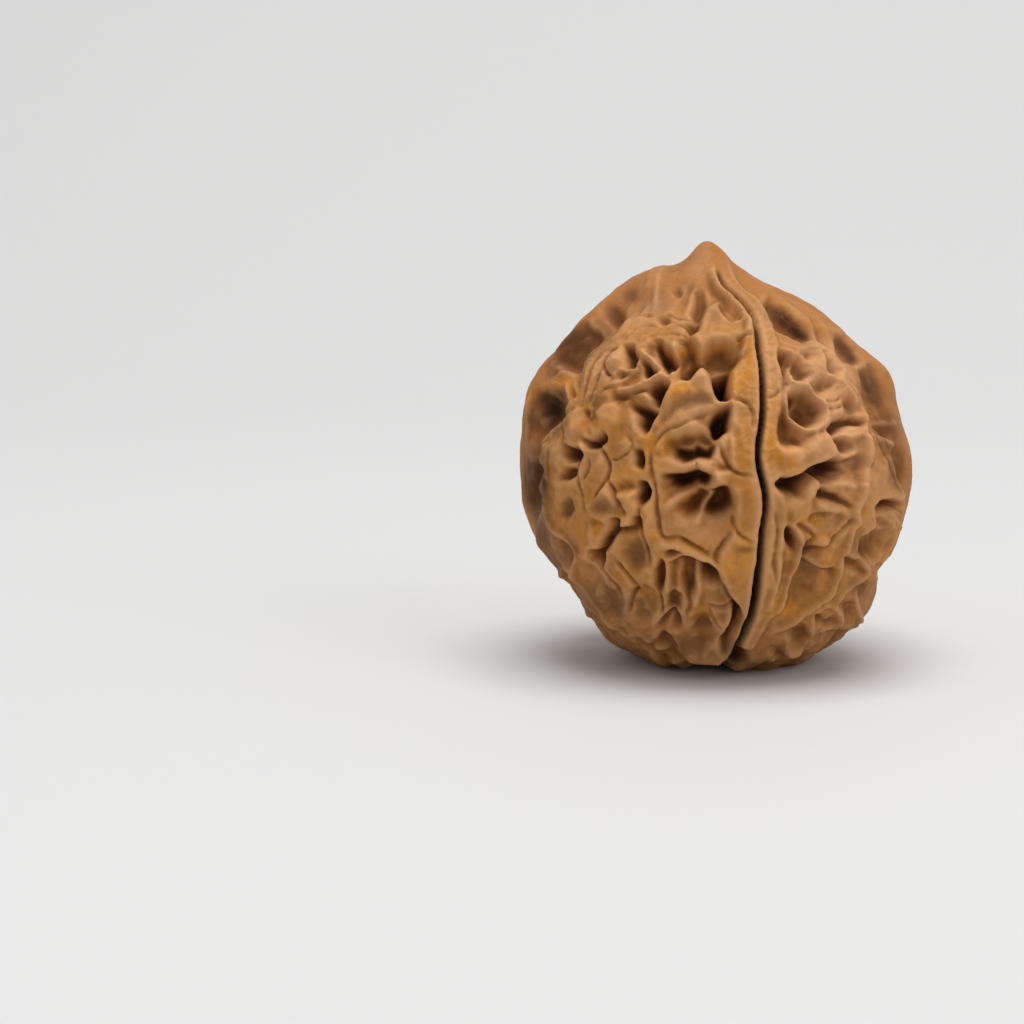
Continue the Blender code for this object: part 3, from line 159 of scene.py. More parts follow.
def eye_and_axes():
    """The viewer's right, ahead and up directions, and the eye's place."""
    right = np.array([1.0, 0.0, 0.0])
    ahead = np.array([0.0, math.cos(EYE_FALL), -math.sin(EYE_FALL)])
    up = np.cross(right, ahead)
    aim_right, aim_up = ((np.array(NUT_MIDDLE_PIXEL) - SHEET_CENTRE) * (1, -1)) / PIXELS_PER_MM
    eye = np.array(HEART) - EYE_DISTANCE * ahead - aim_right * right - aim_up * up
    return right, ahead, up, eye


def usual_lift(pixels):
    """How far the front's relief mostly stands above the plain form at these pixels."""
    away = np.hypot(pixels[:, 0] - NUT_MIDDLE_PIXEL[0], FRONT_SQUASH * (pixels[:, 1] - NUT_MIDDLE_PIXEL[1]))
    return FRONT_LIFT * (1 - ramp(away, FRONT_RADIUS, FRONT_EDGE))


def seen(pixels, raised=None):
    """The points of the plain form below those that the eye sees at these pixels of the photograph,
    which stand this far above it."""
    right, ahead, up, eye = eye_and_axes()
    pixels = np.array(pixels, float)
    raised = usual_lift(pixels) if raised is None else raised
    across, down = ((pixels - SHEET_CENTRE) / PIXELS_PER_MM).T
    rays = EYE_DISTANCE * ahead + across[:, None] * right - down[:, None] * up
    rays /= np.linalg.norm(rays, axis=1)[:, None]
    nearest = ((np.array(HEART) - eye) * rays).sum(axis=1)
    points = eye + nearest[:, None] * rays
    closest = points.copy()
    for _ in range(12):
        size = np.linalg.norm(plain(directions_of(points)) - HEART, axis=1) + raised
        miss = np.linalg.norm(closest - HEART, axis=1)
        inward = np.sqrt(np.clip(size**2 - miss**2, 0.01, None))
        points = closest - inward[:, None] * rays
    return plain(directions_of(points))


def pixels_of(points):
    """Where in the photograph these points of the nut are seen."""
    right, ahead, up, eye = eye_and_axes()
    away = points - eye
    scale = EYE_DISTANCE * PIXELS_PER_MM / (away @ ahead)
    return np.stack([SHEET_CENTRE[0] + away @ right * scale, SHEET_CENTRE[1] - away @ up * scale], axis=1)


def raised_pixels_of(points, directions):
    """The same for points of the plain form, once the front's relief has raised them."""
    return pixels_of(points + usual_lift(pixels_of(points))[:, None] * directions)


def around(turns_falls):
    """Points of the plain form given in degrees: the turn round from the front towards +X, and the
    fall from the tip, where 180 is the middle of the base."""
    turn, fall = np.radians(np.array(turns_falls, float)).T
    return plain(np.stack([np.sin(fall) * np.sin(turn), -np.sin(fall) * np.cos(turn), np.cos(fall)], axis=1))


def smooth_route(points, steps=4):
    """A route's points with a smooth curve run through them."""
    ends = np.vstack([2 * points[0] - points[1], points, 2 * points[-1] - points[-2]])
    before, here, there, after = ends[:-3], ends[1:-2], ends[2:-1], ends[3:]
    run = []
    for step in np.arange(steps) / steps:
        run.append(0.5 * (2 * here + (there - before) * step
                          + (2 * before - 5 * here + 4 * there - after) * step**2
                          + (3 * here - before - 3 * there + after) * step**3))
    return np.vstack([np.stack(run, axis=1).reshape(-1, points.shape[1]), points[-1:]])


def rounded(share):
    """A rib's section: 1 on its line, 0 with no slope at its edge."""
    return (1 - share**2) ** 2


def flat_topped(share):
    """A band's section: level across its middle and round at its edges."""
    return 1 - eased(ramp(share, 0.35, 0.65))


def creased(share):
    """A furrow's section: a sharp bottom between round shoulders."""
    return (1 - share) ** 2


class Relief:
    """Heights above the plain form, for many points of it at once."""

    def __init__(self, directions):
        self.plain = plain(directions)
        self.out = directions
        self.lift = np.zeros(len(directions))
        self.turn = np.degrees(np.arctan2(directions[:, 0], -directions[:, 1]))
        self.fall = np.degrees(np.arccos(np.clip(directions[:, 2], -1, 1)))
        self.steady = self.plain + self.wander(3.2, 0.14)
        self.query = self.steady + self.wander(1.4, 0.13) + self.wander(0.6, 0.03)
        self.facing = ramp(-(directions @ eye_and_axes()[1]), 0.16, 0.26)
        self.pixels = raised_pixels_of(self.query, directions)
        self.steady_pixels = raised_pixels_of(self.steady, directions)
        self.low_pixels = pixels_of(self.query - VALLEY_DROP * directions)

    def wander(self, size, amount):
        """A smooth random sideways shift, which keeps every line and edge from looking drawn."""
        return np.array([noise.noise_vector(Vector(point) / size) for point in self.plain]) * amount

    def rolling(self, size, offset=0.0):
        """Smooth random hills of about this size, from -1 to 1."""
        return np.array([noise.noise(Vector(point) / size + Vector((offset, 0, 0))) for point in self.query])

    def lumpy(self, side):
        """1 on the lumpy part of the front (side 1) or the back (side -1), and 0 off it."""
        turn = np.abs(self.turn) if side > 0 else 180 - np.abs(self.turn)
        edge = np.interp(self.fall, LUMPY_FALL, LUMPY_TURN)
        return eased(ramp(edge - turn, -4.5, 9)) * ramp(self.fall, 30, 14)

    def share(self, route, half_width, section, tapered=True, steady=False):
        """How strongly each point lies on a line along a route, from 0 to 1."""
        lift, self.lift = self.lift, np.zeros(len(self.lift))
        self.stroke(route, half_width, 1.0, section, tapered, steady)
        strength, self.lift = self.lift, lift
        return strength

    def line(self, pixels, half_width, height, section, tapered=True, steady=False):
        """A stroke along a line of the photograph's pixels."""
        self.stroke(smooth_route(seen(pixels)), half_width, height, section, tapered, steady)

    def stroke(self, route, half_width, height, section, tapered=True, steady=False):
        """Raises, or with a negative height sinks, a line along a route of points."""
        half_width = max(half_width, FINEST)
        query = self.steady if steady else self.query
        middle = route.mean(axis=0)
        reach = np.linalg.norm(route - middle, axis=1).max() + half_width
        near = np.flatnonzero(((query - middle) ** 2).sum(axis=1) < reach**2)
        if not len(near):
            return
        spots = query[near]
        best = np.full(len(near), np.inf)
        share = np.zeros(len(near))
        legs = np.diff(route, axis=0)
        lengths = np.linalg.norm(legs, axis=1)
        along = np.concatenate([[0], np.cumsum(lengths)])
        for start, leg, length, before in zip(route, legs, lengths, along):
            away = spots - start
            part = np.clip(away @ leg / max(length**2, 1e-9), 0, 1)
            gap = np.linalg.norm(away - part[:, None] * leg, axis=1)
            closer = gap < best
            best[closer] = gap[closer]
            share[closer] = (before + part[closer] * length) / along[-1]
        strength = section(np.clip(best / half_width, 0, 1))
        if tapered:
            end = ramp(np.minimum(share, 1 - share), 0, TAPER)
            strength = strength * (TAPERED_TO + (1 - TAPERED_TO) * end * (2 - end))
        self.lift[near] += height * strength

    def in_front(self, pixels, line, reach):
        """Which points of the front lie near a line's bounding box, and where they are seen, in
        millimetres."""
        spots = pixels / PIXELS_PER_MM
        low, high = line.min(axis=0) - reach, line.max(axis=0) + reach
        near = np.flatnonzero(((spots > low) & (spots < high)).all(axis=1) & (self.facing > 0))
        return near, spots[near]

    def terrace(self, pixels, height, edge, steady=False, low_lying=False):
        """Raises, or with a negative height sinks, the front's surface inside a closed outline of
        photograph pixels, with a sloping edge of this half width in millimetres."""
        corners = np.array(pixels, float) / PIXELS_PER_MM
        spots = self.steady_pixels if steady else self.low_pixels if low_lying else self.pixels
        near, spots = self.in_front(spots, corners, edge)
        gap = np.full(len(near), np.inf)
        inside = np.zeros(len(near), bool)
        for start, end in zip(corners, np.roll(corners, -1, axis=0)):
            leg = end - start
            part = np.clip((spots - start) @ leg / (leg @ leg), 0, 1)
            gap = np.minimum(gap, np.linalg.norm(spots - start - part[:, None] * leg, axis=1))
            crosses = (spots[:, 1] < start[1]) != (spots[:, 1] < end[1])
            across = start[0] + (spots[:, 1] - start[1]) / (leg[1] if leg[1] else 1e-9) * leg[0]
            inside ^= crosses & (spots[:, 0] < across)
        edge = max(edge, FINEST)
        rise = ramp(np.where(inside, gap, -gap), -edge, 2 * edge)
        self.lift[near] += height * eased(rise) * self.facing[near]

    def step(self, pixels, depth, reach):
        """Sinks the front beside a line of pixels, on the right hand of a walk along it: in full just
        past the line, and less and less as far as this reach."""
        line = smooth_route(np.array(pixels, float)) / PIXELS_PER_MM
        near, spots = self.in_front(self.pixels, line, reach)
        gap = np.full(len(near), np.inf)
        side = np.zeros(len(near))
        share = np.zeros(len(near))
        legs = np.diff(line, axis=0)
        for index, (start, leg) in enumerate(zip(line, legs)):
            away = spots - start
            part = np.clip(away @ leg / (leg @ leg), 0, 1)
            here = np.linalg.norm(away - part[:, None] * leg, axis=1)
            closer = here < gap
            gap[closer] = here[closer]
            side[closer] = np.sign(leg[0] * away[closer, 1] - leg[1] * away[closer, 0])
            share[closer] = (index + part[closer]) / len(legs)
        past = gap * side
        drop = eased(ramp(past, -LEDGE_WALL / 2, LEDGE_WALL))
        fade = (1 - ramp(past, 0, reach)) ** 1.4
        end = ramp(np.minimum(share, 1 - share), 0, 0.2)
        self.lift[near] -= depth * drop * fade * end * (2 - end) * self.facing[near]

    def oval(self, pixel, half_wide, half_tall, lean, wall):
        """Which points lie in an oval round the spot that the eye sees at a pixel, and how far in, from
        0 to 1. Its lean is in degrees clockwise, and wall is the share of it that its side takes."""
        return self.oval_at(seen([pixel])[0], max(half_wide, FINEST), max(half_tall, FINEST), lean, wall)

    def oval_at(self, centre, half_wide, half_tall, lean, wall):
        """The same round a point of the plain form."""
        reach = 1.4 * max(half_wide, half_tall)
        near = np.flatnonzero(((self.query - centre) ** 2).sum(axis=1) < reach**2)
        out = directions_of(centre[None])[0]
        east = np.array([-out[1], out[0], 0.0])
        east /= np.linalg.norm(east) + 1e-9
        north = np.cross(out, east)
        turn = math.radians(lean)
        across = math.cos(turn) * east - math.sin(turn) * north
        upward = math.sin(turn) * east + math.cos(turn) * north
        away = self.query[near] - centre
        share = np.hypot(away @ across / half_wide, away @ upward / half_tall)
        return near, eased(1 - ramp(share, OVAL_EDGE - wall, wall))


# The lumpy front's lobed lip, in pixels like all that follows.
LIP = [
    (690, 262), (668, 275), (655, 292), (640, 312), (627, 316), (620, 325), (613, 335), (603, 343),
    (594, 350), (588, 357), (585, 365), (583, 375), (579, 388), (577, 395), (570, 400), (565, 407),
    (565, 415), (562, 421), (555, 426), (549, 432), (549, 438), (552, 442), (545, 449), (541, 456),
    (541, 462), (546, 468), (545, 476), (543, 485), (546, 495), (545, 505), (541, 515), (548, 522),
    (551, 530), (553, 540), (557, 550), (562, 565), (563, 575), (567, 588), (576, 598), (588, 610),
    (594, 622), (604, 634), (622, 648), (660, 662), (700, 662), (760, 660), (795, 654), (825, 644),
    (848, 630), (862, 613), (872, 592), (880, 568), (886, 552), (893, 530), (900, 506), (897, 494),
    (893, 485), (890, 475), (884, 456), (887, 448), (884, 440), (875, 433), (870, 425), (866, 414),
    (860, 402), (858, 390), (852, 382), (845, 370), (838, 358), (834, 350), (826, 346), (812, 344),
    (800, 345), (786, 340), (778, 332), (768, 318), (758, 300), (735, 275), (715, 262),
]

# The long valleys that part it from the sides, as (half width, depth, route), the deep dimples in
# them, as (depth, edge, outline), and the faint ribs across them, as (height, half width, route).
VALLEYS = [
    (2.2, 0.9, [(640, 284), (616, 316), (594, 343), (570, 378), (555, 412), (543, 450), (539, 490),
        (543, 530), (556, 568), (575, 600)]),
    (2.0, 0.7, [(745, 296), (781, 322), (812, 337), (846, 352), (868, 388), (880, 425), (891, 455),
        (896, 482), (892, 515), (880, 550)]),
]
DIMPLES = [
    (1.7, 0.45, [(585, 328), (597, 333), (600, 342), (590, 350), (585, 358), (584, 368), (574, 372),
        (562, 366), (553, 363), (556, 354), (564, 346), (573, 336)]),
    (1.1, 0.5, [(608, 305), (616, 307), (625, 318), (620, 328), (611, 321), (605, 312)]),
    (0.8, 0.5, [(626, 287), (636, 289), (641, 298), (634, 305), (627, 298)]),
    (1.1, 0.7, [(532, 392), (558, 390), (571, 398), (566, 420), (552, 430), (541, 438), (531, 426),
        (529, 405)]),
    (1.5, 0.5, [(544, 395), (553, 398), (560, 406), (566, 418), (558, 424), (549, 430), (545, 418),
        (541, 405)]),
    (1.3, 0.6, [(526, 461), (541, 461), (546, 470), (545, 490), (546, 505), (541, 522), (533, 520),
        (527, 498), (524, 478)]),
    (0.7, 0.7, [(533, 520), (545, 524), (552, 540), (560, 566), (556, 575), (546, 556), (538, 540)]),
    (1.4, 0.5, [(763, 306), (770, 303), (781, 309), (791, 321), (801, 331), (811, 341), (800, 344),
        (790, 338), (779, 332), (769, 326), (764, 317)]),
    (0.7, 0.4, [(769, 313), (777, 313), (789, 326), (781, 329), (772, 323)]),
    (1.2, 0.45, [(834, 340), (842, 339), (851, 350), (859, 362), (850, 365), (842, 361), (836, 351)]),
    (1.0, 0.6, [(861, 371), (870, 367), (881, 374), (884, 392), (892, 412), (896, 440), (903, 462),
        (900, 484), (893, 472), (888, 450), (886, 440), (877, 431), (869, 420), (864, 405), (860, 390)]),
    (0.6, 0.5, [(863, 392), (872, 396), (880, 415), (888, 436), (880, 434), (870, 420)]),
    (0.6, 0.5, [(889, 446), (896, 448), (899, 470), (893, 474)]),
]
VALLEY_RIBS = [
    (0.8, 0.45, [(545, 409), (541, 422), (538, 437), (536, 448)]),
    (0.6, 0.45, [(537, 398), (532, 418), (529, 440)]),
    (0.5, 0.45, [(560, 381), (564, 390), (569, 399)]),
    (0.4, 0.4, [(571, 379), (574, 387), (578, 394)]),
    (0.6, 0.6, [(548, 443), (541, 450), (536, 457)]),
    (0.3, 0.5, [(883, 418), (889, 421), (898, 424)]),
    (0.5, 1.1, [(692, 250), (676, 260), (664, 270), (655, 284), (648, 300)]),
    (0.4, 0.6, [(668, 268), (661, 284), (657, 299), (655, 316)]),
]


def lumpy_front(relief):
    """The front's lumpy part, which stands proud of the smooth sides, and the valleys round it."""
    before = relief.lift.copy()
    relief.terrace(LIP, 1.0, 0.5)
    relief.lift = before + (relief.lift - before) * ramp(relief.fall, 14, 26)
    for half_width, depth, route in VALLEYS:
        relief.stroke(smooth_route(seen(route, -VALLEY_DROP)), half_width, -depth, rounded)
    for depth, edge, outline in DIMPLES:
        relief.terrace(outline, -depth, edge, low_lying=True)
    for height, half_width, route in VALLEY_RIBS:
        relief.line(route, half_width, height, rounded)
    relief.line([(690, 252), (678, 260), (666, 266), (655, 277)], 0.5, -0.4, creased)


# The front's raised plates, as (height, edge, outline), and the ribs between its holes, as
# (height, half width, route).
PLATES = [
    # Left of the seam, from the tip down.
    (0.9, 0.5, [(717, 302), (708, 311), (703, 318), (701, 326), (697, 335), (690, 343), (693, 351),
        (700, 361), (706, 355), (714, 349), (724, 347), (737, 345), (750, 345), (749, 330), (741, 321),
        (730, 326), (724, 317)]),
    (1.1, 0.7, [(702, 369), (709, 376), (713, 388), (718, 399), (706, 402), (692, 406), (678, 404),
        (668, 410), (666, 398), (672, 388), (684, 384), (693, 377)]),
    (0.7, 0.6, [(728, 399), (716, 402), (700, 406), (680, 413), (668, 424), (660, 436), (672, 430),
        (686, 426), (700, 419), (714, 413), (728, 408)]),
    (0.6, 0.5, [(660, 440), (671, 431), (684, 427), (698, 421), (708, 426), (710, 436), (700, 438),
        (684, 437), (672, 442), (662, 452), (656, 452)]),
    (0.6, 0.4, [(720, 434), (728, 432), (732, 445), (734, 460), (736, 471), (724, 466), (714, 463),
        (709, 458), (711, 450), (715, 440)]),
    (0.5, 0.4, [(656, 456), (678, 457), (697, 458), (710, 462), (728, 472), (727, 486), (712, 479),
        (698, 471), (684, 474), (662, 473), (655, 480)]),
    (0.6, 0.35, [(570, 432), (568, 423), (573, 416), (579, 410), (586, 413), (592, 419), (594, 428),
        (592, 441), (588, 448), (580, 449), (573, 442)]),
    (0.7, 0.35, [(593, 420), (600, 413), (608, 406), (618, 403), (624, 412), (622, 425), (614, 434),
        (604, 438), (597, 440), (594, 430)]),
    (0.45, 0.3, [(609, 483), (616, 492), (622, 502), (619, 515), (608, 520), (597, 515), (589, 506),
        (597, 496), (603, 489)]),
    (0.5, 0.3, [(619, 494), (636, 491), (639, 500), (641, 512), (637, 525), (626, 529), (621, 522),
        (628, 511)]),
    (0.6, 0.5, [(708, 603), (722, 602), (734, 602), (735, 610), (731, 622), (724, 631), (714, 628),
        (709, 618)]),
    (0.9, 0.5, [(690, 641), (700, 641), (710, 634), (722, 631), (727, 640), (724, 653), (715, 661),
        (700, 659), (688, 652)]),
    # Right of the seam.
    (0.8, 0.45, [(775, 444), (784, 452), (790, 447), (800, 445), (812, 438), (822, 434), (833, 447),
        (834, 455), (822, 462), (811, 466), (804, 471), (796, 477), (786, 480), (779, 475), (775, 460)]),
    (0.9, 0.3, [(806, 475), (812, 471), (817, 479), (818, 487), (811, 497), (803, 499), (801, 490)]),
    (0.6, 0.35, [(790, 494), (800, 499), (809, 499), (809, 510), (803, 518), (795, 521), (789, 514),
        (786, 503)]),
    (0.6, 0.45, [(860, 436), (870, 434), (884, 442), (885, 452), (888, 476), (894, 494), (884, 499),
        (872, 499), (868, 508), (867, 525), (858, 534), (853, 520), (858, 496), (862, 470)]),
]
RIBS = [
    (0.9, 0.5, [(640, 352), (648, 360), (658, 369), (667, 374)]),
    (0.6, 0.6, [(676, 343), (676, 354), (675, 368), (674, 380)]),
    (0.7, 0.5, [(637, 366), (632, 376), (622, 384), (612, 387)]),
    (0.6, 0.55, [(668, 380), (655, 381), (645, 387), (632, 391), (620, 392)]),
    (0.6, 0.55, [(657, 401), (645, 400), (634, 401), (624, 404)]),
    (1.1, 0.6, [(696, 480), (688, 489), (680, 497), (671, 504), (664, 509)]),
    (0.8, 0.55, [(717, 493), (707, 502), (700, 512), (693, 524)]),
    (0.5, 0.6, [(733, 488), (736, 499), (734, 512)]),
    (0.7, 0.7, [(654, 545), (668, 543), (684, 548), (698, 553), (712, 560), (722, 572), (726, 586)]),
    (0.8, 0.55, [(697, 562), (698, 576), (698, 592), (696, 606)]),
    (0.6, 0.5, [(668, 562), (669, 576), (668, 592), (664, 606)]),
    (0.6, 0.35, [(552, 498), (554, 514), (561, 529), (570, 536), (577, 544), (579, 553), (578, 565),
        (582, 577), (590, 587), (598, 599), (607, 611), (615, 619), (626, 629), (637, 637)]),
    (0.6, 0.4, [(553, 540), (558, 552), (563, 566), (565, 580), (570, 592), (580, 602), (589, 611),
        (596, 623), (606, 634)]),
    (0.6, 0.55, [(786, 390), (785, 402), (787, 415), (794, 425), (803, 430), (813, 429), (822, 421),
        (823, 410), (818, 400), (810, 392), (800, 387), (791, 387)]),
    (0.5, 0.4, [(778, 352), (789, 354), (793, 362), (789, 372), (788, 382), (797, 386)]),
    (0.5, 0.5, [(808, 346), (818, 352), (824, 364), (828, 376), (840, 384), (848, 394), (856, 406)]),
    (0.5, 0.4, [(838, 357), (842, 370), (850, 382), (856, 396), (862, 414), (861, 432)]),
    (0.7, 0.5, [(862, 432), (863, 450), (861, 465), (859, 480), (857, 495), (852, 508), (851, 522),
        (846, 535), (842, 548), (838, 560), (836, 572), (830, 585), (820, 597), (808, 607), (797, 614),
        (784, 623), (770, 628)]),
    (0.5, 0.45, [(834, 437), (846, 437), (858, 434)]),
    (0.5, 0.5, [(830, 456), (842, 456), (852, 452)]),
    (0.5, 0.5, [(826, 483), (840, 484), (852, 488)]),
    (0.5, 0.6, [(812, 504), (824, 508), (838, 515)]),
    (0.8, 0.6, [(792, 523), (798, 535), (799, 548), (795, 558), (793, 568), (789, 580), (787, 592),
        (781, 603), (772, 612)]),
    (0.5, 0.45, [(778, 556), (776, 574), (770, 590), (764, 606)]),
    (0.5, 0.4, [(850, 579), (848, 592), (851, 604), (852, 617), (845, 627)]),
    (0.6, 0.45, [(860, 560), (860, 568), (850, 577), (838, 587), (832, 600)]),
    (0.5, 0.35, [(880, 508), (888, 522), (894, 540), (886, 552)]),
    (0.4, 0.35, [(872, 512), (882, 520), (885, 536), (878, 552), (870, 566), (868, 582)]),
    (0.5, 0.45, [(806, 612), (816, 606), (826, 600), (836, 606), (836, 618)]),
    (0.4, 0.35, [(812, 612), (809, 622), (806, 634), (794, 644), (778, 646)]),
]


def plates_and_ribs(relief):
    """The front's raised plates and the ribs between its holes."""
    for height, edge, outline in PLATES:
        relief.terrace(outline, height, edge)
    for height, half_width, route in RIBS:
        relief.line(route, half_width, height, rounded)


# The thin grooves that part the front's lumps into cells, as (depth, half width, route).
GROOVES = [
    (0.6, 0.5, [(720, 304), (722, 312), (727, 322), (731, 328)]),
    (0.4, 0.35, [(729, 327), (736, 324), (742, 321)]),
    (0.4, 0.3, [(735, 345), (742, 343), (749, 343)]),
    (0.45, 0.32, [(655, 451), (658, 444), (662, 437), (671, 431), (684, 427), (698, 420), (712, 413),
        (722, 408)]),
    (0.45, 0.4, [(729, 403), (738, 402), (746, 407), (751, 417), (752, 430)]),
    (0.55, 0.38, [(715, 441), (721, 453), (727, 464), (735, 472), (750, 476)]),
    (0.5, 0.25, [(696, 462), (697, 471)]),
    (0.6, 0.42, [(653, 450), (652, 465), (655, 480), (657, 500), (659, 520), (663, 534), (672, 537),
        (680, 536), (690, 542), (702, 548), (713, 557)]),
    (0.5, 0.35, [(732, 514), (733, 525), (739, 532), (752, 540)]),
    (0.45, 0.35, [(731, 529), (724, 541), (716, 552), (716, 562)]),
    (0.8, 0.3, [(708, 490), (716, 492), (723, 489)]),
    (0.55, 0.35, [(618, 348), (610, 355), (606, 364), (607, 373), (613, 380)]),
    (0.45, 0.32, [(606, 352), (597, 364), (591, 378), (586, 393), (583, 408)]),
    (0.4, 0.3, [(608, 362), (601, 374), (596, 388), (591, 403)]),
    (0.35, 0.3, [(598, 353), (590, 363), (587, 375), (584, 386)]),
    (0.2, 0.3, [(620, 330), (628, 322), (640, 318), (655, 319)]),
    (0.2, 0.3, [(622, 344), (632, 334), (645, 328), (660, 331)]),
    (0.18, 0.3, [(640, 345), (655, 338), (672, 336), (690, 340)]),
    (0.25, 0.3, [(666, 318), (680, 321), (698, 323)]),
    (0.3, 0.28, [(676, 328), (686, 330), (697, 333)]),
    (0.35, 0.3, [(620, 397), (634, 395), (648, 392), (656, 386)]),
    (0.35, 0.3, [(602, 396), (608, 390), (618, 388)]),
    (0.65, 0.35, [(602, 447), (608, 457), (612, 466), (611, 475), (605, 487), (598, 498)]),
    (0.65, 0.35, [(611, 479), (616, 491), (622, 501), (629, 512)]),
    (0.65, 0.35, [(584, 456), (581, 468), (582, 482), (586, 496), (588, 512)]),
    (0.4, 0.3, [(591, 459), (591, 470), (586, 480)]),
    (0.4, 0.35, [(563, 420), (567, 434), (565, 446)]),
    (0.35, 0.3, [(553, 450), (552, 466), (554, 482)]),
    (0.4, 0.35, [(628, 436), (634, 444), (630, 452), (620, 458), (612, 460)]),
    (0.85, 0.4, [(620, 560), (630, 573), (638, 585)]),
    (0.75, 0.35, [(638, 586), (633, 596), (631, 609)]),
    (0.8, 0.35, [(604, 567), (610, 573), (616, 580), (623, 592)]),
    (0.75, 0.35, [(661, 585), (661, 600), (663, 613)]),
    (0.6, 0.35, [(646, 545), (650, 556), (652, 568)]),
    (0.65, 0.35, [(640, 505), (640, 520), (644, 535), (648, 548)]),
    (0.6, 0.35, [(708, 604), (722, 603), (734, 600)]),
    (0.4, 0.35, [(709, 606), (714, 616), (722, 622)]),
    (0.45, 0.4, [(690, 590), (691, 604), (686, 614)]),
    (0.4, 0.35, [(720, 575), (727, 588), (734, 600)]),
    (0.35, 0.3, [(762, 401), (770, 399), (776, 392)]),
    (0.6, 0.45, [(776, 360), (781, 376), (784, 388)]),
    (0.5, 0.4, [(800, 559), (812, 549), (824, 545), (833, 535), (844, 524), (850, 517)]),
    (0.55, 0.35, [(799, 560), (812, 566), (824, 569), (836, 568)]),
    (0.5, 0.3, [(865, 432), (866, 448), (864, 466)]),
    (0.5, 0.4, [(797, 522), (806, 529), (812, 536), (806, 546)]),
    (0.8, 0.4, [(810, 631), (820, 627), (834, 626)]),
    (0.4, 0.35, [(772, 510), (776, 530), (772, 555), (774, 580)]),
    (0.35, 0.3, [(822, 404), (832, 402), (838, 398)]),
    (0.35, 0.3, [(824, 410), (833, 410), (840, 405)]),
    (0.4, 0.35, [(880, 500), (890, 508), (897, 520)]),
    (0.35, 0.3, [(868, 440), (874, 452), (880, 470), (884, 488)]),
]


def grooves(relief):
    """The front's thin grooves."""
    for depth, half_width, route in GROOVES:
        relief.line(route, half_width, -depth, creased)


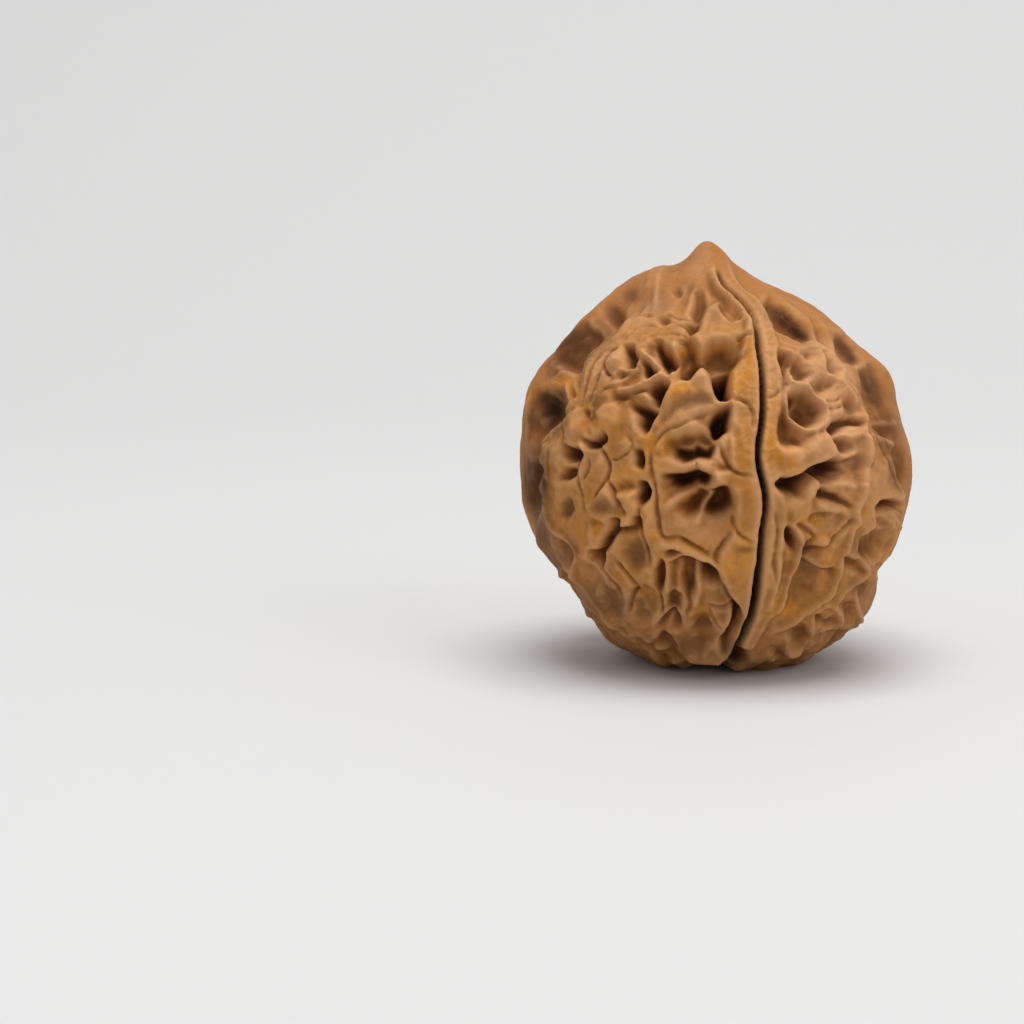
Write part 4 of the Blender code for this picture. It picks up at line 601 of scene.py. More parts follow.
# The front's holes, each a closed outline with a steep or a sloping side, as (depth, edge, outline),
# and the ledges over them, as (depth, reach, line).
HOLES = [
    # The funnel and the two black holes beside the seam.
    (1.7, 0.7, [(702, 356), (712, 350), (722, 349), (731, 354), (737, 362), (733, 369), (728, 374),
        (728, 386), (713, 386), (708, 374), (704, 368), (700, 363)]),
    (3.6, 0.35, [(712, 377), (728, 372), (729, 399), (720, 400), (716, 394)]),
    (3.8, 0.35, [(717, 411), (728, 407), (727, 431), (721, 435), (716, 439), (711, 434), (709, 425),
        (713, 417)]),
    (0.9, 0.7, [(700, 422), (712, 415), (716, 440), (708, 446), (700, 438)]),
    # The crevice and the cavern under its ledge.
    (1.2, 0.8, [(671, 441), (684, 435), (700, 434), (712, 440), (713, 449), (700, 450), (680, 451),
        (670, 448)]),
    (2.7, 0.32, [(676, 448), (684, 450), (690, 451), (696, 447), (702, 449), (707, 451), (713, 447),
        (710, 458), (702, 457), (697, 457), (690, 461), (683, 461), (677, 455)]),
    (1.3, 1.3, [(667, 478), (690, 475), (706, 480), (712, 488), (722, 486), (731, 488), (734, 505),
        (728, 520), (716, 527), (700, 524), (686, 514), (674, 502), (666, 490)]),
    (2.1, 0.4, [(666, 476), (676, 476), (690, 474), (698, 472), (711, 478), (709, 486), (698, 482),
        (690, 488), (680, 489), (671, 486), (671, 480)]),
    (2.3, 0.5, [(718, 491), (728, 488), (733, 497), (732, 507), (722, 514), (712, 517), (704, 512),
        (710, 501)]),
    (1.5, 0.5, [(699, 492), (710, 494), (706, 503), (698, 511), (686, 515), (681, 509), (690, 500)]),
    # The pitted crown of the left half.
    (1.8, 0.6, [(680, 352), (686, 348), (692, 349), (699, 358), (702, 366), (696, 374), (688, 382),
        (681, 378), (676, 369), (676, 359)]),
    (1.2, 0.5, [(690, 360), (700, 364), (696, 373), (688, 380), (682, 374)]),
    (2.2, 0.35, [(658, 345), (663, 351), (671, 354), (676, 362), (674, 371), (669, 376), (664, 368),
        (660, 360)]),
    (0.9, 0.5, [(648, 348), (654, 342), (662, 341), (667, 350), (662, 360), (654, 356)]),
    (2.2, 0.3, [(645, 364), (650, 367), (657, 374), (650, 380), (646, 375)]),
    (1.8, 0.4, [(626, 348), (632, 349), (636, 358), (634, 369), (629, 367), (627, 358)]),
    (2.4, 0.4, [(654, 388), (661, 384), (669, 387), (667, 395), (662, 402), (658, 408), (654, 401),
        (651, 394)]),
    (2.7, 0.35, [(635, 408), (647, 409), (657, 413), (652, 421), (647, 429), (644, 433), (640, 425),
        (641, 416)]),
    (0.7, 0.6, [(628, 402), (642, 402), (654, 408), (648, 416), (634, 414)]),
    (0.8, 0.3, [(659, 321), (664, 327), (671, 325), (669, 320)]),
    (1.0, 0.4, [(686, 328), (692, 325), (699, 326), (697, 335), (690, 336)]),
    (0.7, 0.4, [(674, 290), (678, 287), (682, 291), (678, 296)]),
    (1.1, 0.6, [(697, 292), (702, 290), (705, 302), (702, 316), (696, 322), (692, 312)]),
    (0.7, 0.4, [(678, 342), (687, 340), (692, 344), (686, 348), (679, 347)]),
    # The left flank.
    (2.6, 0.35, [(566, 446), (574, 448), (582, 448), (584, 453), (580, 460), (573, 460), (566, 456)]),
    (2.0, 0.3, [(587, 440), (595, 443), (602, 439), (608, 433), (607, 442), (599, 448), (591, 448)]),
    (1.7, 0.35, [(568, 470), (578, 468), (577, 475), (569, 480), (563, 477)]),
    (2.0, 0.3, [(637, 450), (642, 451), (644, 460), (642, 468), (637, 465), (638, 457)]),
    (2.8, 0.3, [(640, 483), (646, 484), (650, 492), (647, 500), (641, 505), (637, 499), (641, 492)]),
    (0.8, 0.5, [(618, 483), (630, 482), (642, 485), (640, 492), (628, 491), (618, 490)]),
    (2.2, 0.3, [(616, 516), (622, 518), (620, 528), (615, 536), (609, 545), (603, 550), (606, 539),
        (612, 529)]),
    (1.8, 0.28, [(636, 516), (641, 518), (641, 528), (634, 530), (621, 531), (621, 527), (634, 525)]),
    (2.4, 0.35, [(592, 550), (600, 550), (605, 548), (605, 557), (602, 567), (597, 561), (593, 557)]),
    (1.0, 0.8, [(628, 542), (640, 538), (648, 548), (646, 561), (636, 568), (629, 559), (626, 550)]),
    (1.0, 0.7, [(561, 538), (570, 540), (577, 549), (576, 561), (566, 558), (560, 548)]),
    (0.7, 0.5, [(563, 502), (571, 500), (575, 508), (570, 517), (563, 513)]),
    (0.9, 0.7, [(607, 585), (616, 590), (625, 604), (622, 614), (612, 610), (603, 596)]),
    (0.9, 0.7, [(583, 562), (593, 562), (600, 572), (604, 584), (596, 588), (587, 576)]),
    (0.8, 0.6, [(572, 576), (582, 584), (590, 598), (586, 604), (574, 592)]),
    # The lower front.
    (1.1, 0.3, [(668, 549), (674, 547), (681, 550), (676, 554), (669, 553)]),
    (1.9, 0.4, [(655, 570), (661, 559), (664, 566), (666, 576), (664, 586), (659, 591), (656, 580)]),
    (1.5, 0.5, [(680, 560), (690, 557), (696, 562), (697, 580), (695, 592), (688, 596), (681, 583)]),
    (1.4, 0.45, [(699, 561), (708, 561), (715, 568), (718, 579), (710, 582), (703, 577)]),
    (0.9, 0.5, [(670, 564), (677, 563), (678, 580), (675, 588), (670, 580)]),
    (1.1, 0.6, [(666, 597), (673, 592), (680, 597), (680, 606), (673, 611), (667, 606)]),
    (1.3, 0.5, [(658, 636), (664, 630), (671, 634), (677, 645), (682, 656), (668, 657), (660, 649)]),
    (0.7, 0.6, [(695, 618), (704, 615), (709, 622), (702, 631), (693, 628)]),
    (2.6, 0.35, [(733, 601), (738, 605), (740, 614), (736, 625), (729, 634), (724, 642), (721, 635),
        (728, 628), (733, 617)]),
    (0.6, 0.5, [(634, 588), (644, 584), (656, 590), (660, 600), (652, 618), (640, 618), (633, 606)]),
    # The right half.
    (1.4, 0.45, [(777, 356), (784, 354), (789, 362), (788, 373), (783, 379), (779, 369)]),
    (1.4, 0.45, [(790, 361), (796, 359), (804, 366), (808, 375), (803, 382), (794, 381), (790, 373)]),
    (0.6, 0.4, [(801, 353), (808, 352), (811, 357), (805, 360)]),
    (1.4, 0.5, [(820, 351), (828, 350), (835, 360), (840, 369), (834, 375), (827, 373), (825, 362)]),
    (1.0, 0.6, [(810, 384), (820, 380), (830, 384), (827, 391), (818, 398), (811, 391)]),
    (1.9, 0.45, [(788, 397), (796, 393), (806, 395), (815, 402), (820, 412), (816, 422), (805, 427),
        (795, 423), (789, 415), (787, 405)]),
    (0.8, 0.3, [(788, 396), (795, 395), (797, 401), (791, 405)]),
    (0.8, 0.4, [(799, 406), (806, 403), (812, 410), (809, 419), (801, 419)]),
    (1.4, 0.7, [(776, 420), (782, 411), (787, 417), (790, 428), (797, 441), (799, 447), (789, 446),
        (781, 442), (776, 432)]),
    (0.8, 0.6, [(841, 399), (850, 401), (856, 410), (851, 419), (843, 417)]),
    (1.7, 0.35, [(826, 430), (832, 423), (842, 420), (852, 419), (861, 424), (850, 426), (842, 428),
        (834, 434), (828, 437)]),
    (1.0, 0.45, [(828, 441), (838, 440), (848, 445), (843, 452), (833, 451)]),
    (2.9, 0.35, [(774, 483), (782, 479), (790, 481), (800, 476), (807, 470), (811, 474), (806, 480),
        (801, 487), (798, 493), (788, 493), (779, 489)]),
    (2.5, 0.4, [(809, 468), (820, 465), (831, 459), (841, 462), (843, 470), (833, 477), (822, 479),
        (815, 475)]),
    (0.7, 0.7, [(834, 460), (850, 458), (860, 466), (856, 478), (842, 478), (834, 472)]),
    (1.6, 0.32, [(815, 492), (820, 488), (828, 492), (838, 496), (848, 506), (838, 502), (828, 499),
        (818, 498)]),
    (1.7, 0.35, [(786, 527), (791, 530), (795, 540), (792, 549), (787, 543), (785, 535)]),
    (1.0, 0.7, [(799, 546), (808, 544), (816, 550), (810, 558), (800, 560)]),
    (1.3, 0.9, [(795, 570), (806, 566), (816, 576), (812, 594), (798, 606), (787, 604), (788, 590)]),
    (1.7, 0.35, [(868, 505), (874, 499), (882, 497), (890, 502), (881, 505), (874, 510)]),
    (1.5, 0.5, [(859, 535), (870, 526), (879, 530), (879, 543), (872, 553), (862, 556), (858, 546)]),
    (0.8, 0.5, [(870, 512), (878, 514), (880, 526), (872, 526)]),
    (1.1, 0.4, [(840, 554), (848, 557), (857, 560), (857, 567), (846, 565)]),
    (0.9, 0.4, [(871, 561), (878, 559), (883, 566), (878, 573), (871, 569)]),
    (1.0, 0.6, [(851, 581), (860, 577), (868, 582), (865, 593), (856, 599), (851, 593)]),
    (0.8, 0.5, [(836, 598), (844, 596), (846, 608), (838, 614)]),
    (0.9, 0.35, [(814, 612), (821, 615), (828, 610), (831, 616), (823, 620), (815, 618)]),
    (0.8, 0.6, [(790, 628), (800, 624), (807, 632), (800, 640), (791, 638)]),
    (0.8, 0.5, [(771, 642), (781, 640), (785, 648), (776, 652)]),
]
LEDGES = [
    (1.8, 2.2, [(661, 474), (672, 474), (682, 475), (690, 472), (697, 470), (705, 474), (713, 480)]),
    (1.1, 3.0, [(664, 562), (674, 560), (682, 557), (690, 555), (698, 558), (706, 560), (714, 566),
        (718, 574), (720, 583)]),
    (1.8, 1.5, [(658, 625), (664, 617), (671, 613), (677, 617), (682, 628)]),
    (1.0, 1.6, [(588, 410), (592, 419), (600, 413)]),
    (0.8, 1.2, [(616, 392), (624, 397), (636, 398), (648, 401)]),
    (0.9, 1.4, [(620, 379), (632, 374), (638, 365)]),
    (0.9, 1.5, [(640, 529), (630, 531), (620, 530)][::-1]),
    (1.2, 2.2, [(776, 481), (790, 480), (802, 474), (810, 467), (824, 463), (836, 456)]),
    (0.9, 2.0, [(812, 467), (826, 462), (846, 458), (858, 452)]),
    (0.8, 1.8, [(806, 520), (812, 514), (830, 512), (848, 518)]),
    (0.8, 2.5, [(836, 567), (824, 569), (812, 566), (796, 559)][::-1]),
    (0.8, 1.6, [(867, 524), (859, 533), (857, 545), (858, 560)][::-1]),
    (1.0, 1.5, [(808, 632), (820, 627), (836, 625), (848, 620)]),
    (0.7, 1.5, [(612, 622), (626, 631), (644, 640), (660, 636)]),
]


def holes(relief):
    """The front's holes and the ledges over them."""
    for depth, edge, outline in HOLES:
        relief.terrace(outline, -depth, edge)
    for depth, reach, line in LEDGES:
        relief.step(line, depth, reach)


# The round lumps of the front, as (pixel, half width, half height, lift, lean in degrees clockwise).
LUMPS = [
    ((705, 383), 1.2, 1.3, 0.5, 0), ((742, 440), 1.2, 2.6, 0.35, 0), ((690, 430), 2.4, 0.9, 0.4, -20),
    ((715, 484), 0.9, 0.7, 1.0, 0), ((650, 518), 0.8, 2.2, 0.4, 0), ((617, 362), 1.1, 1.3, 0.5, 0),
    ((588, 449), 0.6, 0.6, 0.5, 0), ((560, 455), 1.1, 1.8, 0.4, 0), ((603, 462), 0.8, 1.8, 0.35, 0),
    ((581, 428), 1.0, 1.3, 0.4, 0), ((608, 420), 1.3, 1.3, 0.4, 0), ((612, 396), 1.3, 1.0, 0.3, 0),
    ((628, 447), 1.1, 1.1, 0.35, 0), ((562, 495), 0.8, 2.0, 0.3, 0), ((598, 535), 1.0, 1.4, 0.4, 0),
    ((648, 605), 1.4, 1.7, 0.5, 0), ((664, 646), 0.9, 0.7, 0.8, 0), ((628, 585), 0.8, 1.8, 0.35, 20),
    ((706, 648), 1.8, 1.2, 0.5, 0), ((727, 560), 1.0, 2.0, 0.3, 0), ((722, 616), 1.0, 1.2, 0.3, 0),
    ((781, 453), 0.8, 1.1, 0.5, 0), ((792, 460), 1.1, 1.4, 0.5, 0), ((808, 448), 1.3, 1.6, 0.4, 0),
    ((789, 483), 0.5, 0.4, 0.9, 0), ((820, 540), 1.0, 0.8, 0.5, 0), ((823, 556), 0.9, 0.7, 0.3, 0),
    ((823, 614), 0.7, 0.5, 0.5, 0), ((880, 441), 0.7, 0.8, 0.5, 0), ((874, 472), 0.9, 2.0, 0.3, 0),
    ((815, 370), 1.0, 1.2, 0.3, 0), ((840, 392), 0.9, 0.9, 0.3, 0), ((776, 600), 1.4, 1.6, 0.3, 0),
    ((838, 532), 0.9, 2.2, 0.3, 25), ((790, 645), 1.4, 0.9, 0.4, 0), ((770, 575), 1.0, 2.4, 0.3, 0),
    ((600, 500), 7.5, 9.0, 0.4, 0), ((668, 400), 4.5, 4.5, 0.4, 0), ((820, 440), 4.5, 6.0, 0.3, 0),
]


def lumps(relief):
    """The round lumps of the front, and grit on the crumbly spots."""
    for pixel, half_wide, half_tall, height, lean in LUMPS:
        near, strength = relief.oval(pixel, half_wide, half_tall, lean, 1.1)
        relief.lift[near] += height * strength

    # Grit on the crumbly patch by the long crack, on the wedge and on the crater's floor.
    grit = relief.rolling(0.5, 11) + 0.5 * relief.rolling(0.28, 23)
    grit_height = 0.42
    for pixel, half_wide, half_tall, lean in (((601, 531), 0.9, 1.5, -15), ((622, 374), 1.2, 0.6, -30),
                                              ((794, 411), 0.6, 1.3, 0), ((596, 408), 0.4, 1.2, 10)):
        near, strength = relief.oval(pixel, half_wide, half_tall, lean, 0.6)
        relief.lift[near] += grit_height * strength * grit[near]


def skin(relief):
    """The outline's low swellings, the furrows of the smooth sides, and fine crumpled skin that is
    strongest on the lumpy parts."""
    for pixel, half_wide, half_tall, height in (
            ((641, 285), 7.5, 5.0, 1.65), ((552, 368), 8.0, 8.0, 0.5), ((540, 537), 7.0, 5.0, 0.6),
            ((866, 606), 7.0, 5.5, 1.0),
            # The hollow and the notch under the foot of the front.
            ((711, 672), 4.6, 5.0, -1.9), ((706, 663), 3.4, 3.6, -1.7), ((735, 655), 1.5, 2.4, -2.2)):
        near, strength = relief.oval(pixel, half_wide, half_tall, 0, 1.1)
        relief.lift[near] += height * strength
    rough = 0.25 + 0.75 * np.maximum(relief.lumpy(1), relief.lumpy(-1))
    turns, falls = np.radians(relief.turn), relief.fall
    ways = np.stack([2.6 * np.sin(turns), 2.6 * np.cos(turns), falls / 46], axis=1)
    furrows = np.array([noise.noise(Vector(way)) for way in ways + 0.25 * relief.query / 9])
    sides = np.clip(1.3 - 1.6 * rough, 0, 1) * ramp(falls, 12, 30)
    furrow_depth, swell_height = 0.75, 0.5
    relief.lift -= furrow_depth * sides * np.clip(1 - 5 * np.abs(furrows), 0, 1)
    relief.lift += swell_height * sides * relief.rolling(5.0, 230)
    for height, size, offset in ((0.10, 1.5, 140), (0.07, 0.8, 170)):
        relief.lift += height * rough * (1 - 2.2 * np.abs(relief.rolling(size, offset)))
    relief.lift += 0.03 * rough * relief.rolling(0.42, 200)


# The flat strip on the left of the seam, whose left side is cut back by the holes.
STRIP = SEAM_LINE + [
    (724, 648), (733, 634), (741, 616), (738, 602), (728, 588), (724, 574), (718, 556), (725, 541),
    (732, 528), (734, 508), (730, 490), (716, 482), (713, 474), (730, 470), (729, 458), (729, 432),
    (729, 400), (729, 374), (737, 362), (742, 346), (744, 325), (737, 312), (728, 301), (716, 290),
    (706, 270), (701, 246),
]


def seam(relief):
    """The raised rims on each side of the seam, and the crack that parts them, all the way round."""
    # On the left the flat strip, and on the right a narrow round ridge.
    relief.terrace(STRIP, 0.6, 0.3, steady=True)
    relief.line(RIGHT_RIM, 1.3, 0.7, flat_topped, tapered=False, steady=True)
    relief.line([(704, 243), (709, 262), (717, 283), (731, 303), (744, 321), (750, 338)], 0.8, 0.55, rounded)

    # The crack: a shallow dip, a hairline above, a slit below and two widenings of it.
    relief.line(SEAM_LINE, 0.6, -0.20, rounded, tapered=False, steady=True)
    relief.line(SEAM_LINE[:5], 0.30, -0.5, rounded, steady=True)
    relief.line(SEAM_LINE[4:], 0.25, -1.4, flat_topped, tapered=False, steady=True)
    relief.line(SEAM_LINE[6:], 0.36, -0.8, flat_topped, steady=True)
    relief.line(WIDE_CRACK, 0.45, -0.9, flat_topped, steady=True)

    # Behind, the seam wanders down from the tip and under the base to meet the front's end.
    under = np.vstack([around(BACK_SEAM[-2:]), around([(SEAM_TURN, 179), (14, 168)]), seen([SEAM_LINE[-1]])])
    for side in (-6, 6):
        rim = [(turn + side, fall) for turn, fall in BACK_SEAM[1:-1]]
        relief.stroke(smooth_route(around(rim)), 1.6, 0.9, flat_topped)
    relief.stroke(smooth_route(around(BACK_SEAM)), 0.45, -1.4, flat_topped, tapered=False, steady=True)
    relief.stroke(smooth_route(under), 0.8, -1.6, rounded, tapered=False)


def crumple(relief):
    """Round lumps parted by creases, strong on the lumpy back and faint on the front, sides and rims."""
    rim = relief.share(smooth_route(seen(SEAM_LINE)), 3.2, flat_topped, tapered=False, steady=True)
    front = relief.lumpy(1) * (1 - 0.8 * rim)
    below = ramp(relief.fall, 112, 18)
    rough = relief.lumpy(-1) * (1 - 0.45 * below) + front * (0.10 + 0.35 * below)
    for size, offset, least, more, gain, level in (
            (4.6, 0, 0.10, 0.52, 2.2, 0.60), (2.0, 30, 0.05, 0.26, 1.8, 0.45)):
        relief.lift += (least + more * rough) * (gain * np.abs(relief.rolling(size, offset)) - level)
    relief.lift += (0.02 + 0.08 * rough) * relief.rolling(0.9, 60)
    relief.lift += 0.35 * relief.rolling(9.0, 90)


def net_of_cells(relief, strength, count=170):
    """Cells with sunk middles and a raised net between them, as on a face that wasn't drawn by eye."""
    draw = random.Random(SEED)
    golden_turn = math.pi * (3 - math.sqrt(5))
    spots = []
    for index in range(count):
        level = 1 - 2 * (index + 0.5) / count
        turn = index * golden_turn + draw.uniform(-0.15, 0.15)
        level = min(max(level + draw.uniform(-0.02, 0.02), -1), 1)
        wide = math.sqrt(1 - level**2)
        spots.append((wide * math.cos(turn), wide * math.sin(turn), level))
    spots = plain(np.array(spots))
    depth = np.array([draw.choice((0.4, 0.7, 0.9, 1.3, 2.6)) for _ in range(count)])
    stretch = np.array([1.0, 1.0, 0.75])
    gaps = np.stack([(((relief.query - spot) * stretch) ** 2).sum(axis=1) for spot in spots], axis=1)
    nearest = np.argpartition(gaps, 1, axis=1)[:, :2]
    pair = np.sqrt(np.take_along_axis(gaps, nearest, axis=1))
    first, second = pair.min(axis=1), pair.max(axis=1)
    own = nearest[np.arange(len(gaps)), pair.argmin(axis=1)]
    inward = np.clip((second - first) / (0.75 * (second + first)), 0, 1)
    relief.lift += strength * (0.35 - depth[own] * inward**1.3)


def back_and_base(relief):
    """The back's own valleys, ribs and holes, and the hollow that the stem left in the base."""
    net_of_cells(relief, relief.lumpy(-1))
    # Down both sides of the back run a valley, a rib beside it and a rib by the seam, as turns from the
    # back's middle and falls, and down each flank a broad swelling.
    routes = [
        (2.6, -1.6, [(42, 30), (52, 45), (62, 62), (70, 82), (70, 100), (66, 120)]),
        (1.1, 0.7, [(34, 36), (46, 52), (56, 72), (60, 92), (60, 112), (62, 132)]),
        (0.9, 0.9, [(18, 50), (24, 70), (27, 95), (26, 120)]),
    ]
    for side in (-1, 1):
        for half_width, height, turns_falls in routes:
            route = around([(180 + side * turn, fall) for turn, fall in turns_falls])
            relief.stroke(smooth_route(route), half_width, height, rounded)
        flank = around([(side * 88, 30), (side * 90, 50), (side * 91, 75), (side * 90, 100), (side * 88, 125)])
        relief.stroke(smooth_route(flank), 4.0, 0.5, rounded)
    draw = random.Random(SEED + 1)
    for _ in range(34):
        centre = around([(180 + draw.uniform(-56, 56), draw.uniform(42, 132))])[0]
        wide, deep, lean = draw.uniform(0.5, 1.1), draw.uniform(1.0, 2.4), draw.uniform(-40, 40)
        # A wide shallow dish with a steeper hole in it.
        for margin, part, wall in ((0.8, 0.35, 1.15), (0.0, 0.75, 0.7)):
            half_wide = max(wide + margin, FINEST)
            near, strength = relief.oval_at(centre, half_wide, 1.3 * wide + margin, lean, wall)
            relief.lift[near] -= part * deep * strength
    for turn in (-70, -35, 60, 95, 140, 205, 240):
        furrow = smooth_route(around([(turn - 4, 138), (turn + 3, 150), (turn - 2, 161)]))
        relief.stroke(furrow, 0.9, -0.5, rounded)
    near, strength = relief.oval_at(around([(0, 179.9)])[0], 2.6, 2.6, 0.0, 0.7)
    relief.lift[near] -= 1.6 * strength


def softened(values, ends, rounds):
    """The values at the points, each drawn as many times as asked towards the mean of its neighbours."""
    count = len(values)
    neighbours = np.bincount(ends.ravel(), minlength=count)
    for _ in range(rounds):
        total = np.bincount(ends[:, 0], values[ends[:, 1]], count)
        total += np.bincount(ends[:, 1], values[ends[:, 0]], count)
        values = 0.5 * values + 0.5 * total / neighbours
    return values


def shell_relief(directions, ends, spacing):
    """Every form of the shell laid onto its plain form. The coarse ones are softened, the fine ones
    stay crisp, and all of them fade towards the tip."""
    relief = Relief(directions)
    for form in (crumple, back_and_base, lumpy_front, plates_and_ribs, holes, lumps):
        form(relief)
    relief.lift = softened(relief.lift, ends, round((2 * SOFTNESS / spacing) ** 2))
    for form in (skin, grooves, seam):
        form(relief)
    relief.lift *= 0.15 + 0.85 * ramp(relief.fall, 3, 15)
    return relief


# The marks on the front, each kind's ovals as (pixel, half width, half height, lean in degrees
# clockwise, strength).
MARKS = {
    "ochre": [
        ((679, 391), 1.6, 0.9, 0, 1), ((683, 351), 0.8, 0.4, 0, 0.9), ((700, 352), 0.6, 1.6, -10, 0.8),
        ((736, 380), 1, 1.7, 0, 0.9), ((748, 362), 0.7, 2.6, 0, 0.7), ((720, 350), 1, 0.5, 0, 0.6),
        ((667, 444), 1.5, 1, -20, 0.9), ((648, 455), 0.8, 2.4, 0, 0.8), ((744, 450), 1, 2.6, 0, 0.5),
        ((742, 502), 1.4, 3.2, 0, 0.6), ((737, 522), 1, 1.4, 0, 0.7), ((744, 552), 1.4, 3, 0, 0.5),
        ((727, 566), 0.9, 1.8, 0, 0.8), ((766, 428), 0.9, 4.2, 0, 0.9), ((771, 400), 0.8, 1.2, 0, 0.6),
        ((784, 455), 1.5, 1.1, 0, 0.9), ((795, 471), 1.2, 0.6, -20, 0.7), ((654, 535), 1, 0.7, 0, 1),
        ((597, 533), 1, 1.5, 0, 0.7), ((549, 482), 0.5, 2.4, 0, 0.9), ((560, 384), 1.8, 0.6, -15, 0.8),
        ((575, 393), 0.8, 0.6, 0, 0.7), ((600, 430), 2.2, 1.4, 0, 0.5), ((620, 582), 1, 2.4, 20, 0.6),
        ((638, 530), 1.8, 0.6, 0, 0.5), ((702, 612), 1.6, 0.8, 0, 0.7), ((688, 545), 2.6, 0.9, 15, 0.6),
        ((783, 608), 1.6, 1.4, 0, 0.7), ((821, 540), 1.2, 0.9, 0, 0.6), ((826, 562), 1.2, 1.4, 0, 0.5),
        ((840, 381), 0.8, 0.5, 30, 0.7), ((812, 520), 1.6, 0.8, 0, 0.5), ((655, 575), 3, 3, 0, 0.3),
        ((632, 500), 4, 5, 0, 0.35), ((590, 520), 3, 4.5, 0, 0.35), ((810, 590), 3.2, 3.6, 0, 0.3),
        ((568, 470), 1, 2.8, 0, 0.4), ((632, 475), 1.8, 1, 0, 0.5), ((694, 502), 1.2, 1.2, 0, 0.6),
        ((664, 470), 1.6, 1, 0, 0.4), ((736, 628), 0.7, 1.6, -20, 0.6),
    ],
    # Painted shade in the deep valleys beside the lip, in their dimples and in the funnel by the seam.
    "shade": [
        ((577, 350), 1.6, 3.4, 45, 0.9), ((590, 338), 1.2, 1.4, 0, 0.7), ((614, 316), 0.8, 1.3, -30, 0.8),
        ((632, 296), 0.9, 0.9, 0, 0.6), ((553, 412), 1.4, 2.2, 0, 1), ((539, 420), 1.4, 2.6, 10, 0.6),
        ((535, 484), 1.6, 3.6, 0, 0.9), ((540, 530), 1.3, 3, -15, 0.7), ((554, 566), 1.1, 2, -20, 0.6),
        ((786, 323), 2.9, 1, 40, 1), ((774, 316), 1, 0.9, 0, 0.5), ((845, 351), 0.8, 1.7, -35, 0.9),
        ((871, 392), 1.2, 2.8, -20, 0.8), ((886, 432), 1.3, 3, -12, 0.7), ((897, 468), 0.8, 2.4, 0, 0.7),
        ((862, 545), 1, 1.2, 0, 0.5), ((700, 306), 0.6, 1.5, 0, 0.5), ((721, 368), 1.3, 1.2, 0, 0.6),
    ],
    # Painted highlights, pale pink, on lumps that face the light.
    "pale": [
        ((820, 378), 4.6, 4, 0, 0.9), ((838, 440), 3, 5.4, -10, 0.8), ((800, 445), 1.6, 1.6, 0, 0.6),
        ((604, 362), 1.6, 1.8, 0, 0.6), ((875, 478), 1.4, 3, 0, 0.5), ((688, 412), 2.4, 1.4, 0, 0.6),
        ((706, 380), 1.2, 1, 0, 0.5), ((590, 445), 1.8, 2, 0, 0.3), ((768, 352), 1, 4, -8, 0.5),
        ((700, 262), 1.4, 2.4, 0, 0.4), ((660, 530), 1.2, 1.4, 0, 0.3), ((835, 510), 2.4, 1.6, 0, 0.4),
        ((645, 315), 2.4, 1.2, -30, 0.5), ((690, 528), 2.6, 1.4, 0, 0.4),
    ],
    # Grey-brown smudges, partly the shell's own stains and partly painted shade in dishes, valleys and on the
    # lower front.
    "smudge_and_shade": [
        ((742, 508), 1.2, 2.4, 0, 0.35), ((700, 645), 2.6, 1.4, 0, 0.5), ((592, 600), 1.4, 2.2, -40, 0.5),
        ((806, 575), 1.6, 2.6, 20, 0.45), ((655, 351), 0.8, 0.7, 0, 0.6), ((698, 397), 1.8, 0.8, 0, 0.6),
        ((742, 351), 1, 0.8, 0, 0.5), ((714, 314), 0.7, 1.4, 0, 0.4), ((686, 443), 2, 1, 0, 0.5),
        ((606, 506), 1.7, 0.9, 0, 0.7), ((569, 508), 0.7, 1.1, 0, 0.7), ((637, 554), 1.3, 1.7, 0, 0.7),
        ((569, 549), 1, 1.5, -20, 0.6), ((614, 600), 1.2, 2.2, -30, 0.7), ((647, 606), 1.1, 1.2, 0, 0.6),
        ((702, 622), 1, 0.9, 0, 0.7), ((673, 600), 0.7, 0.9, 0, 0.6), ((722, 590), 0.8, 1.6, 0, 0.5),
        ((724, 612), 0.8, 1, 0, 0.5), ((858, 587), 0.9, 1.1, 0, 0.5), ((848, 410), 0.7, 1, 0, 0.5),
        ((802, 552), 0.8, 1.2, 0, 0.6), ((746, 550), 1.2, 0.4, 0, 0.6), ((798, 632), 0.9, 0.8, 0, 0.6),
        ((712, 505), 1.8, 1.2, 0, 0.5), ((688, 290), 1.6, 1.2, 0, 0.3), ((660, 300), 1, 1.6, 0, 0.3),
        ((600, 335), 1.6, 1.6, 0, 0.4), ((538, 482), 1.4, 3.4, 0, 0.7), ((548, 412), 1.6, 2, 0, 0.7),
        ((588, 340), 2.4, 1.4, -40, 0.5), ((780, 520), 0.8, 1.6, 0, 0.3), ((630, 375), 1, 0.5, 0, 0.4),
        ((596, 405), 0.5, 1.6, 0, 0.5),
    ],
    # Painted deep shadow, near black, in the darkest pools, under the lip and in the notch at the foot.
    "dark": [
        ((556, 407), 0.8, 1.5, 20, 1), ((546, 399), 0.8, 0.6, 0, 0.7), ((799, 335), 1, 0.5, 40, 0.8),
        ((567, 340), 1.8, 0.5, -38, 0.6), ((542, 478), 0.4, 1.6, 0, 0.6), ((733, 652), 0.9, 1.4, 0, 1),
        ((866, 384), 0.4, 1.2, -20, 0.5), ((852, 360), 0.6, 0.5, 0, 0.5),
    ],
}


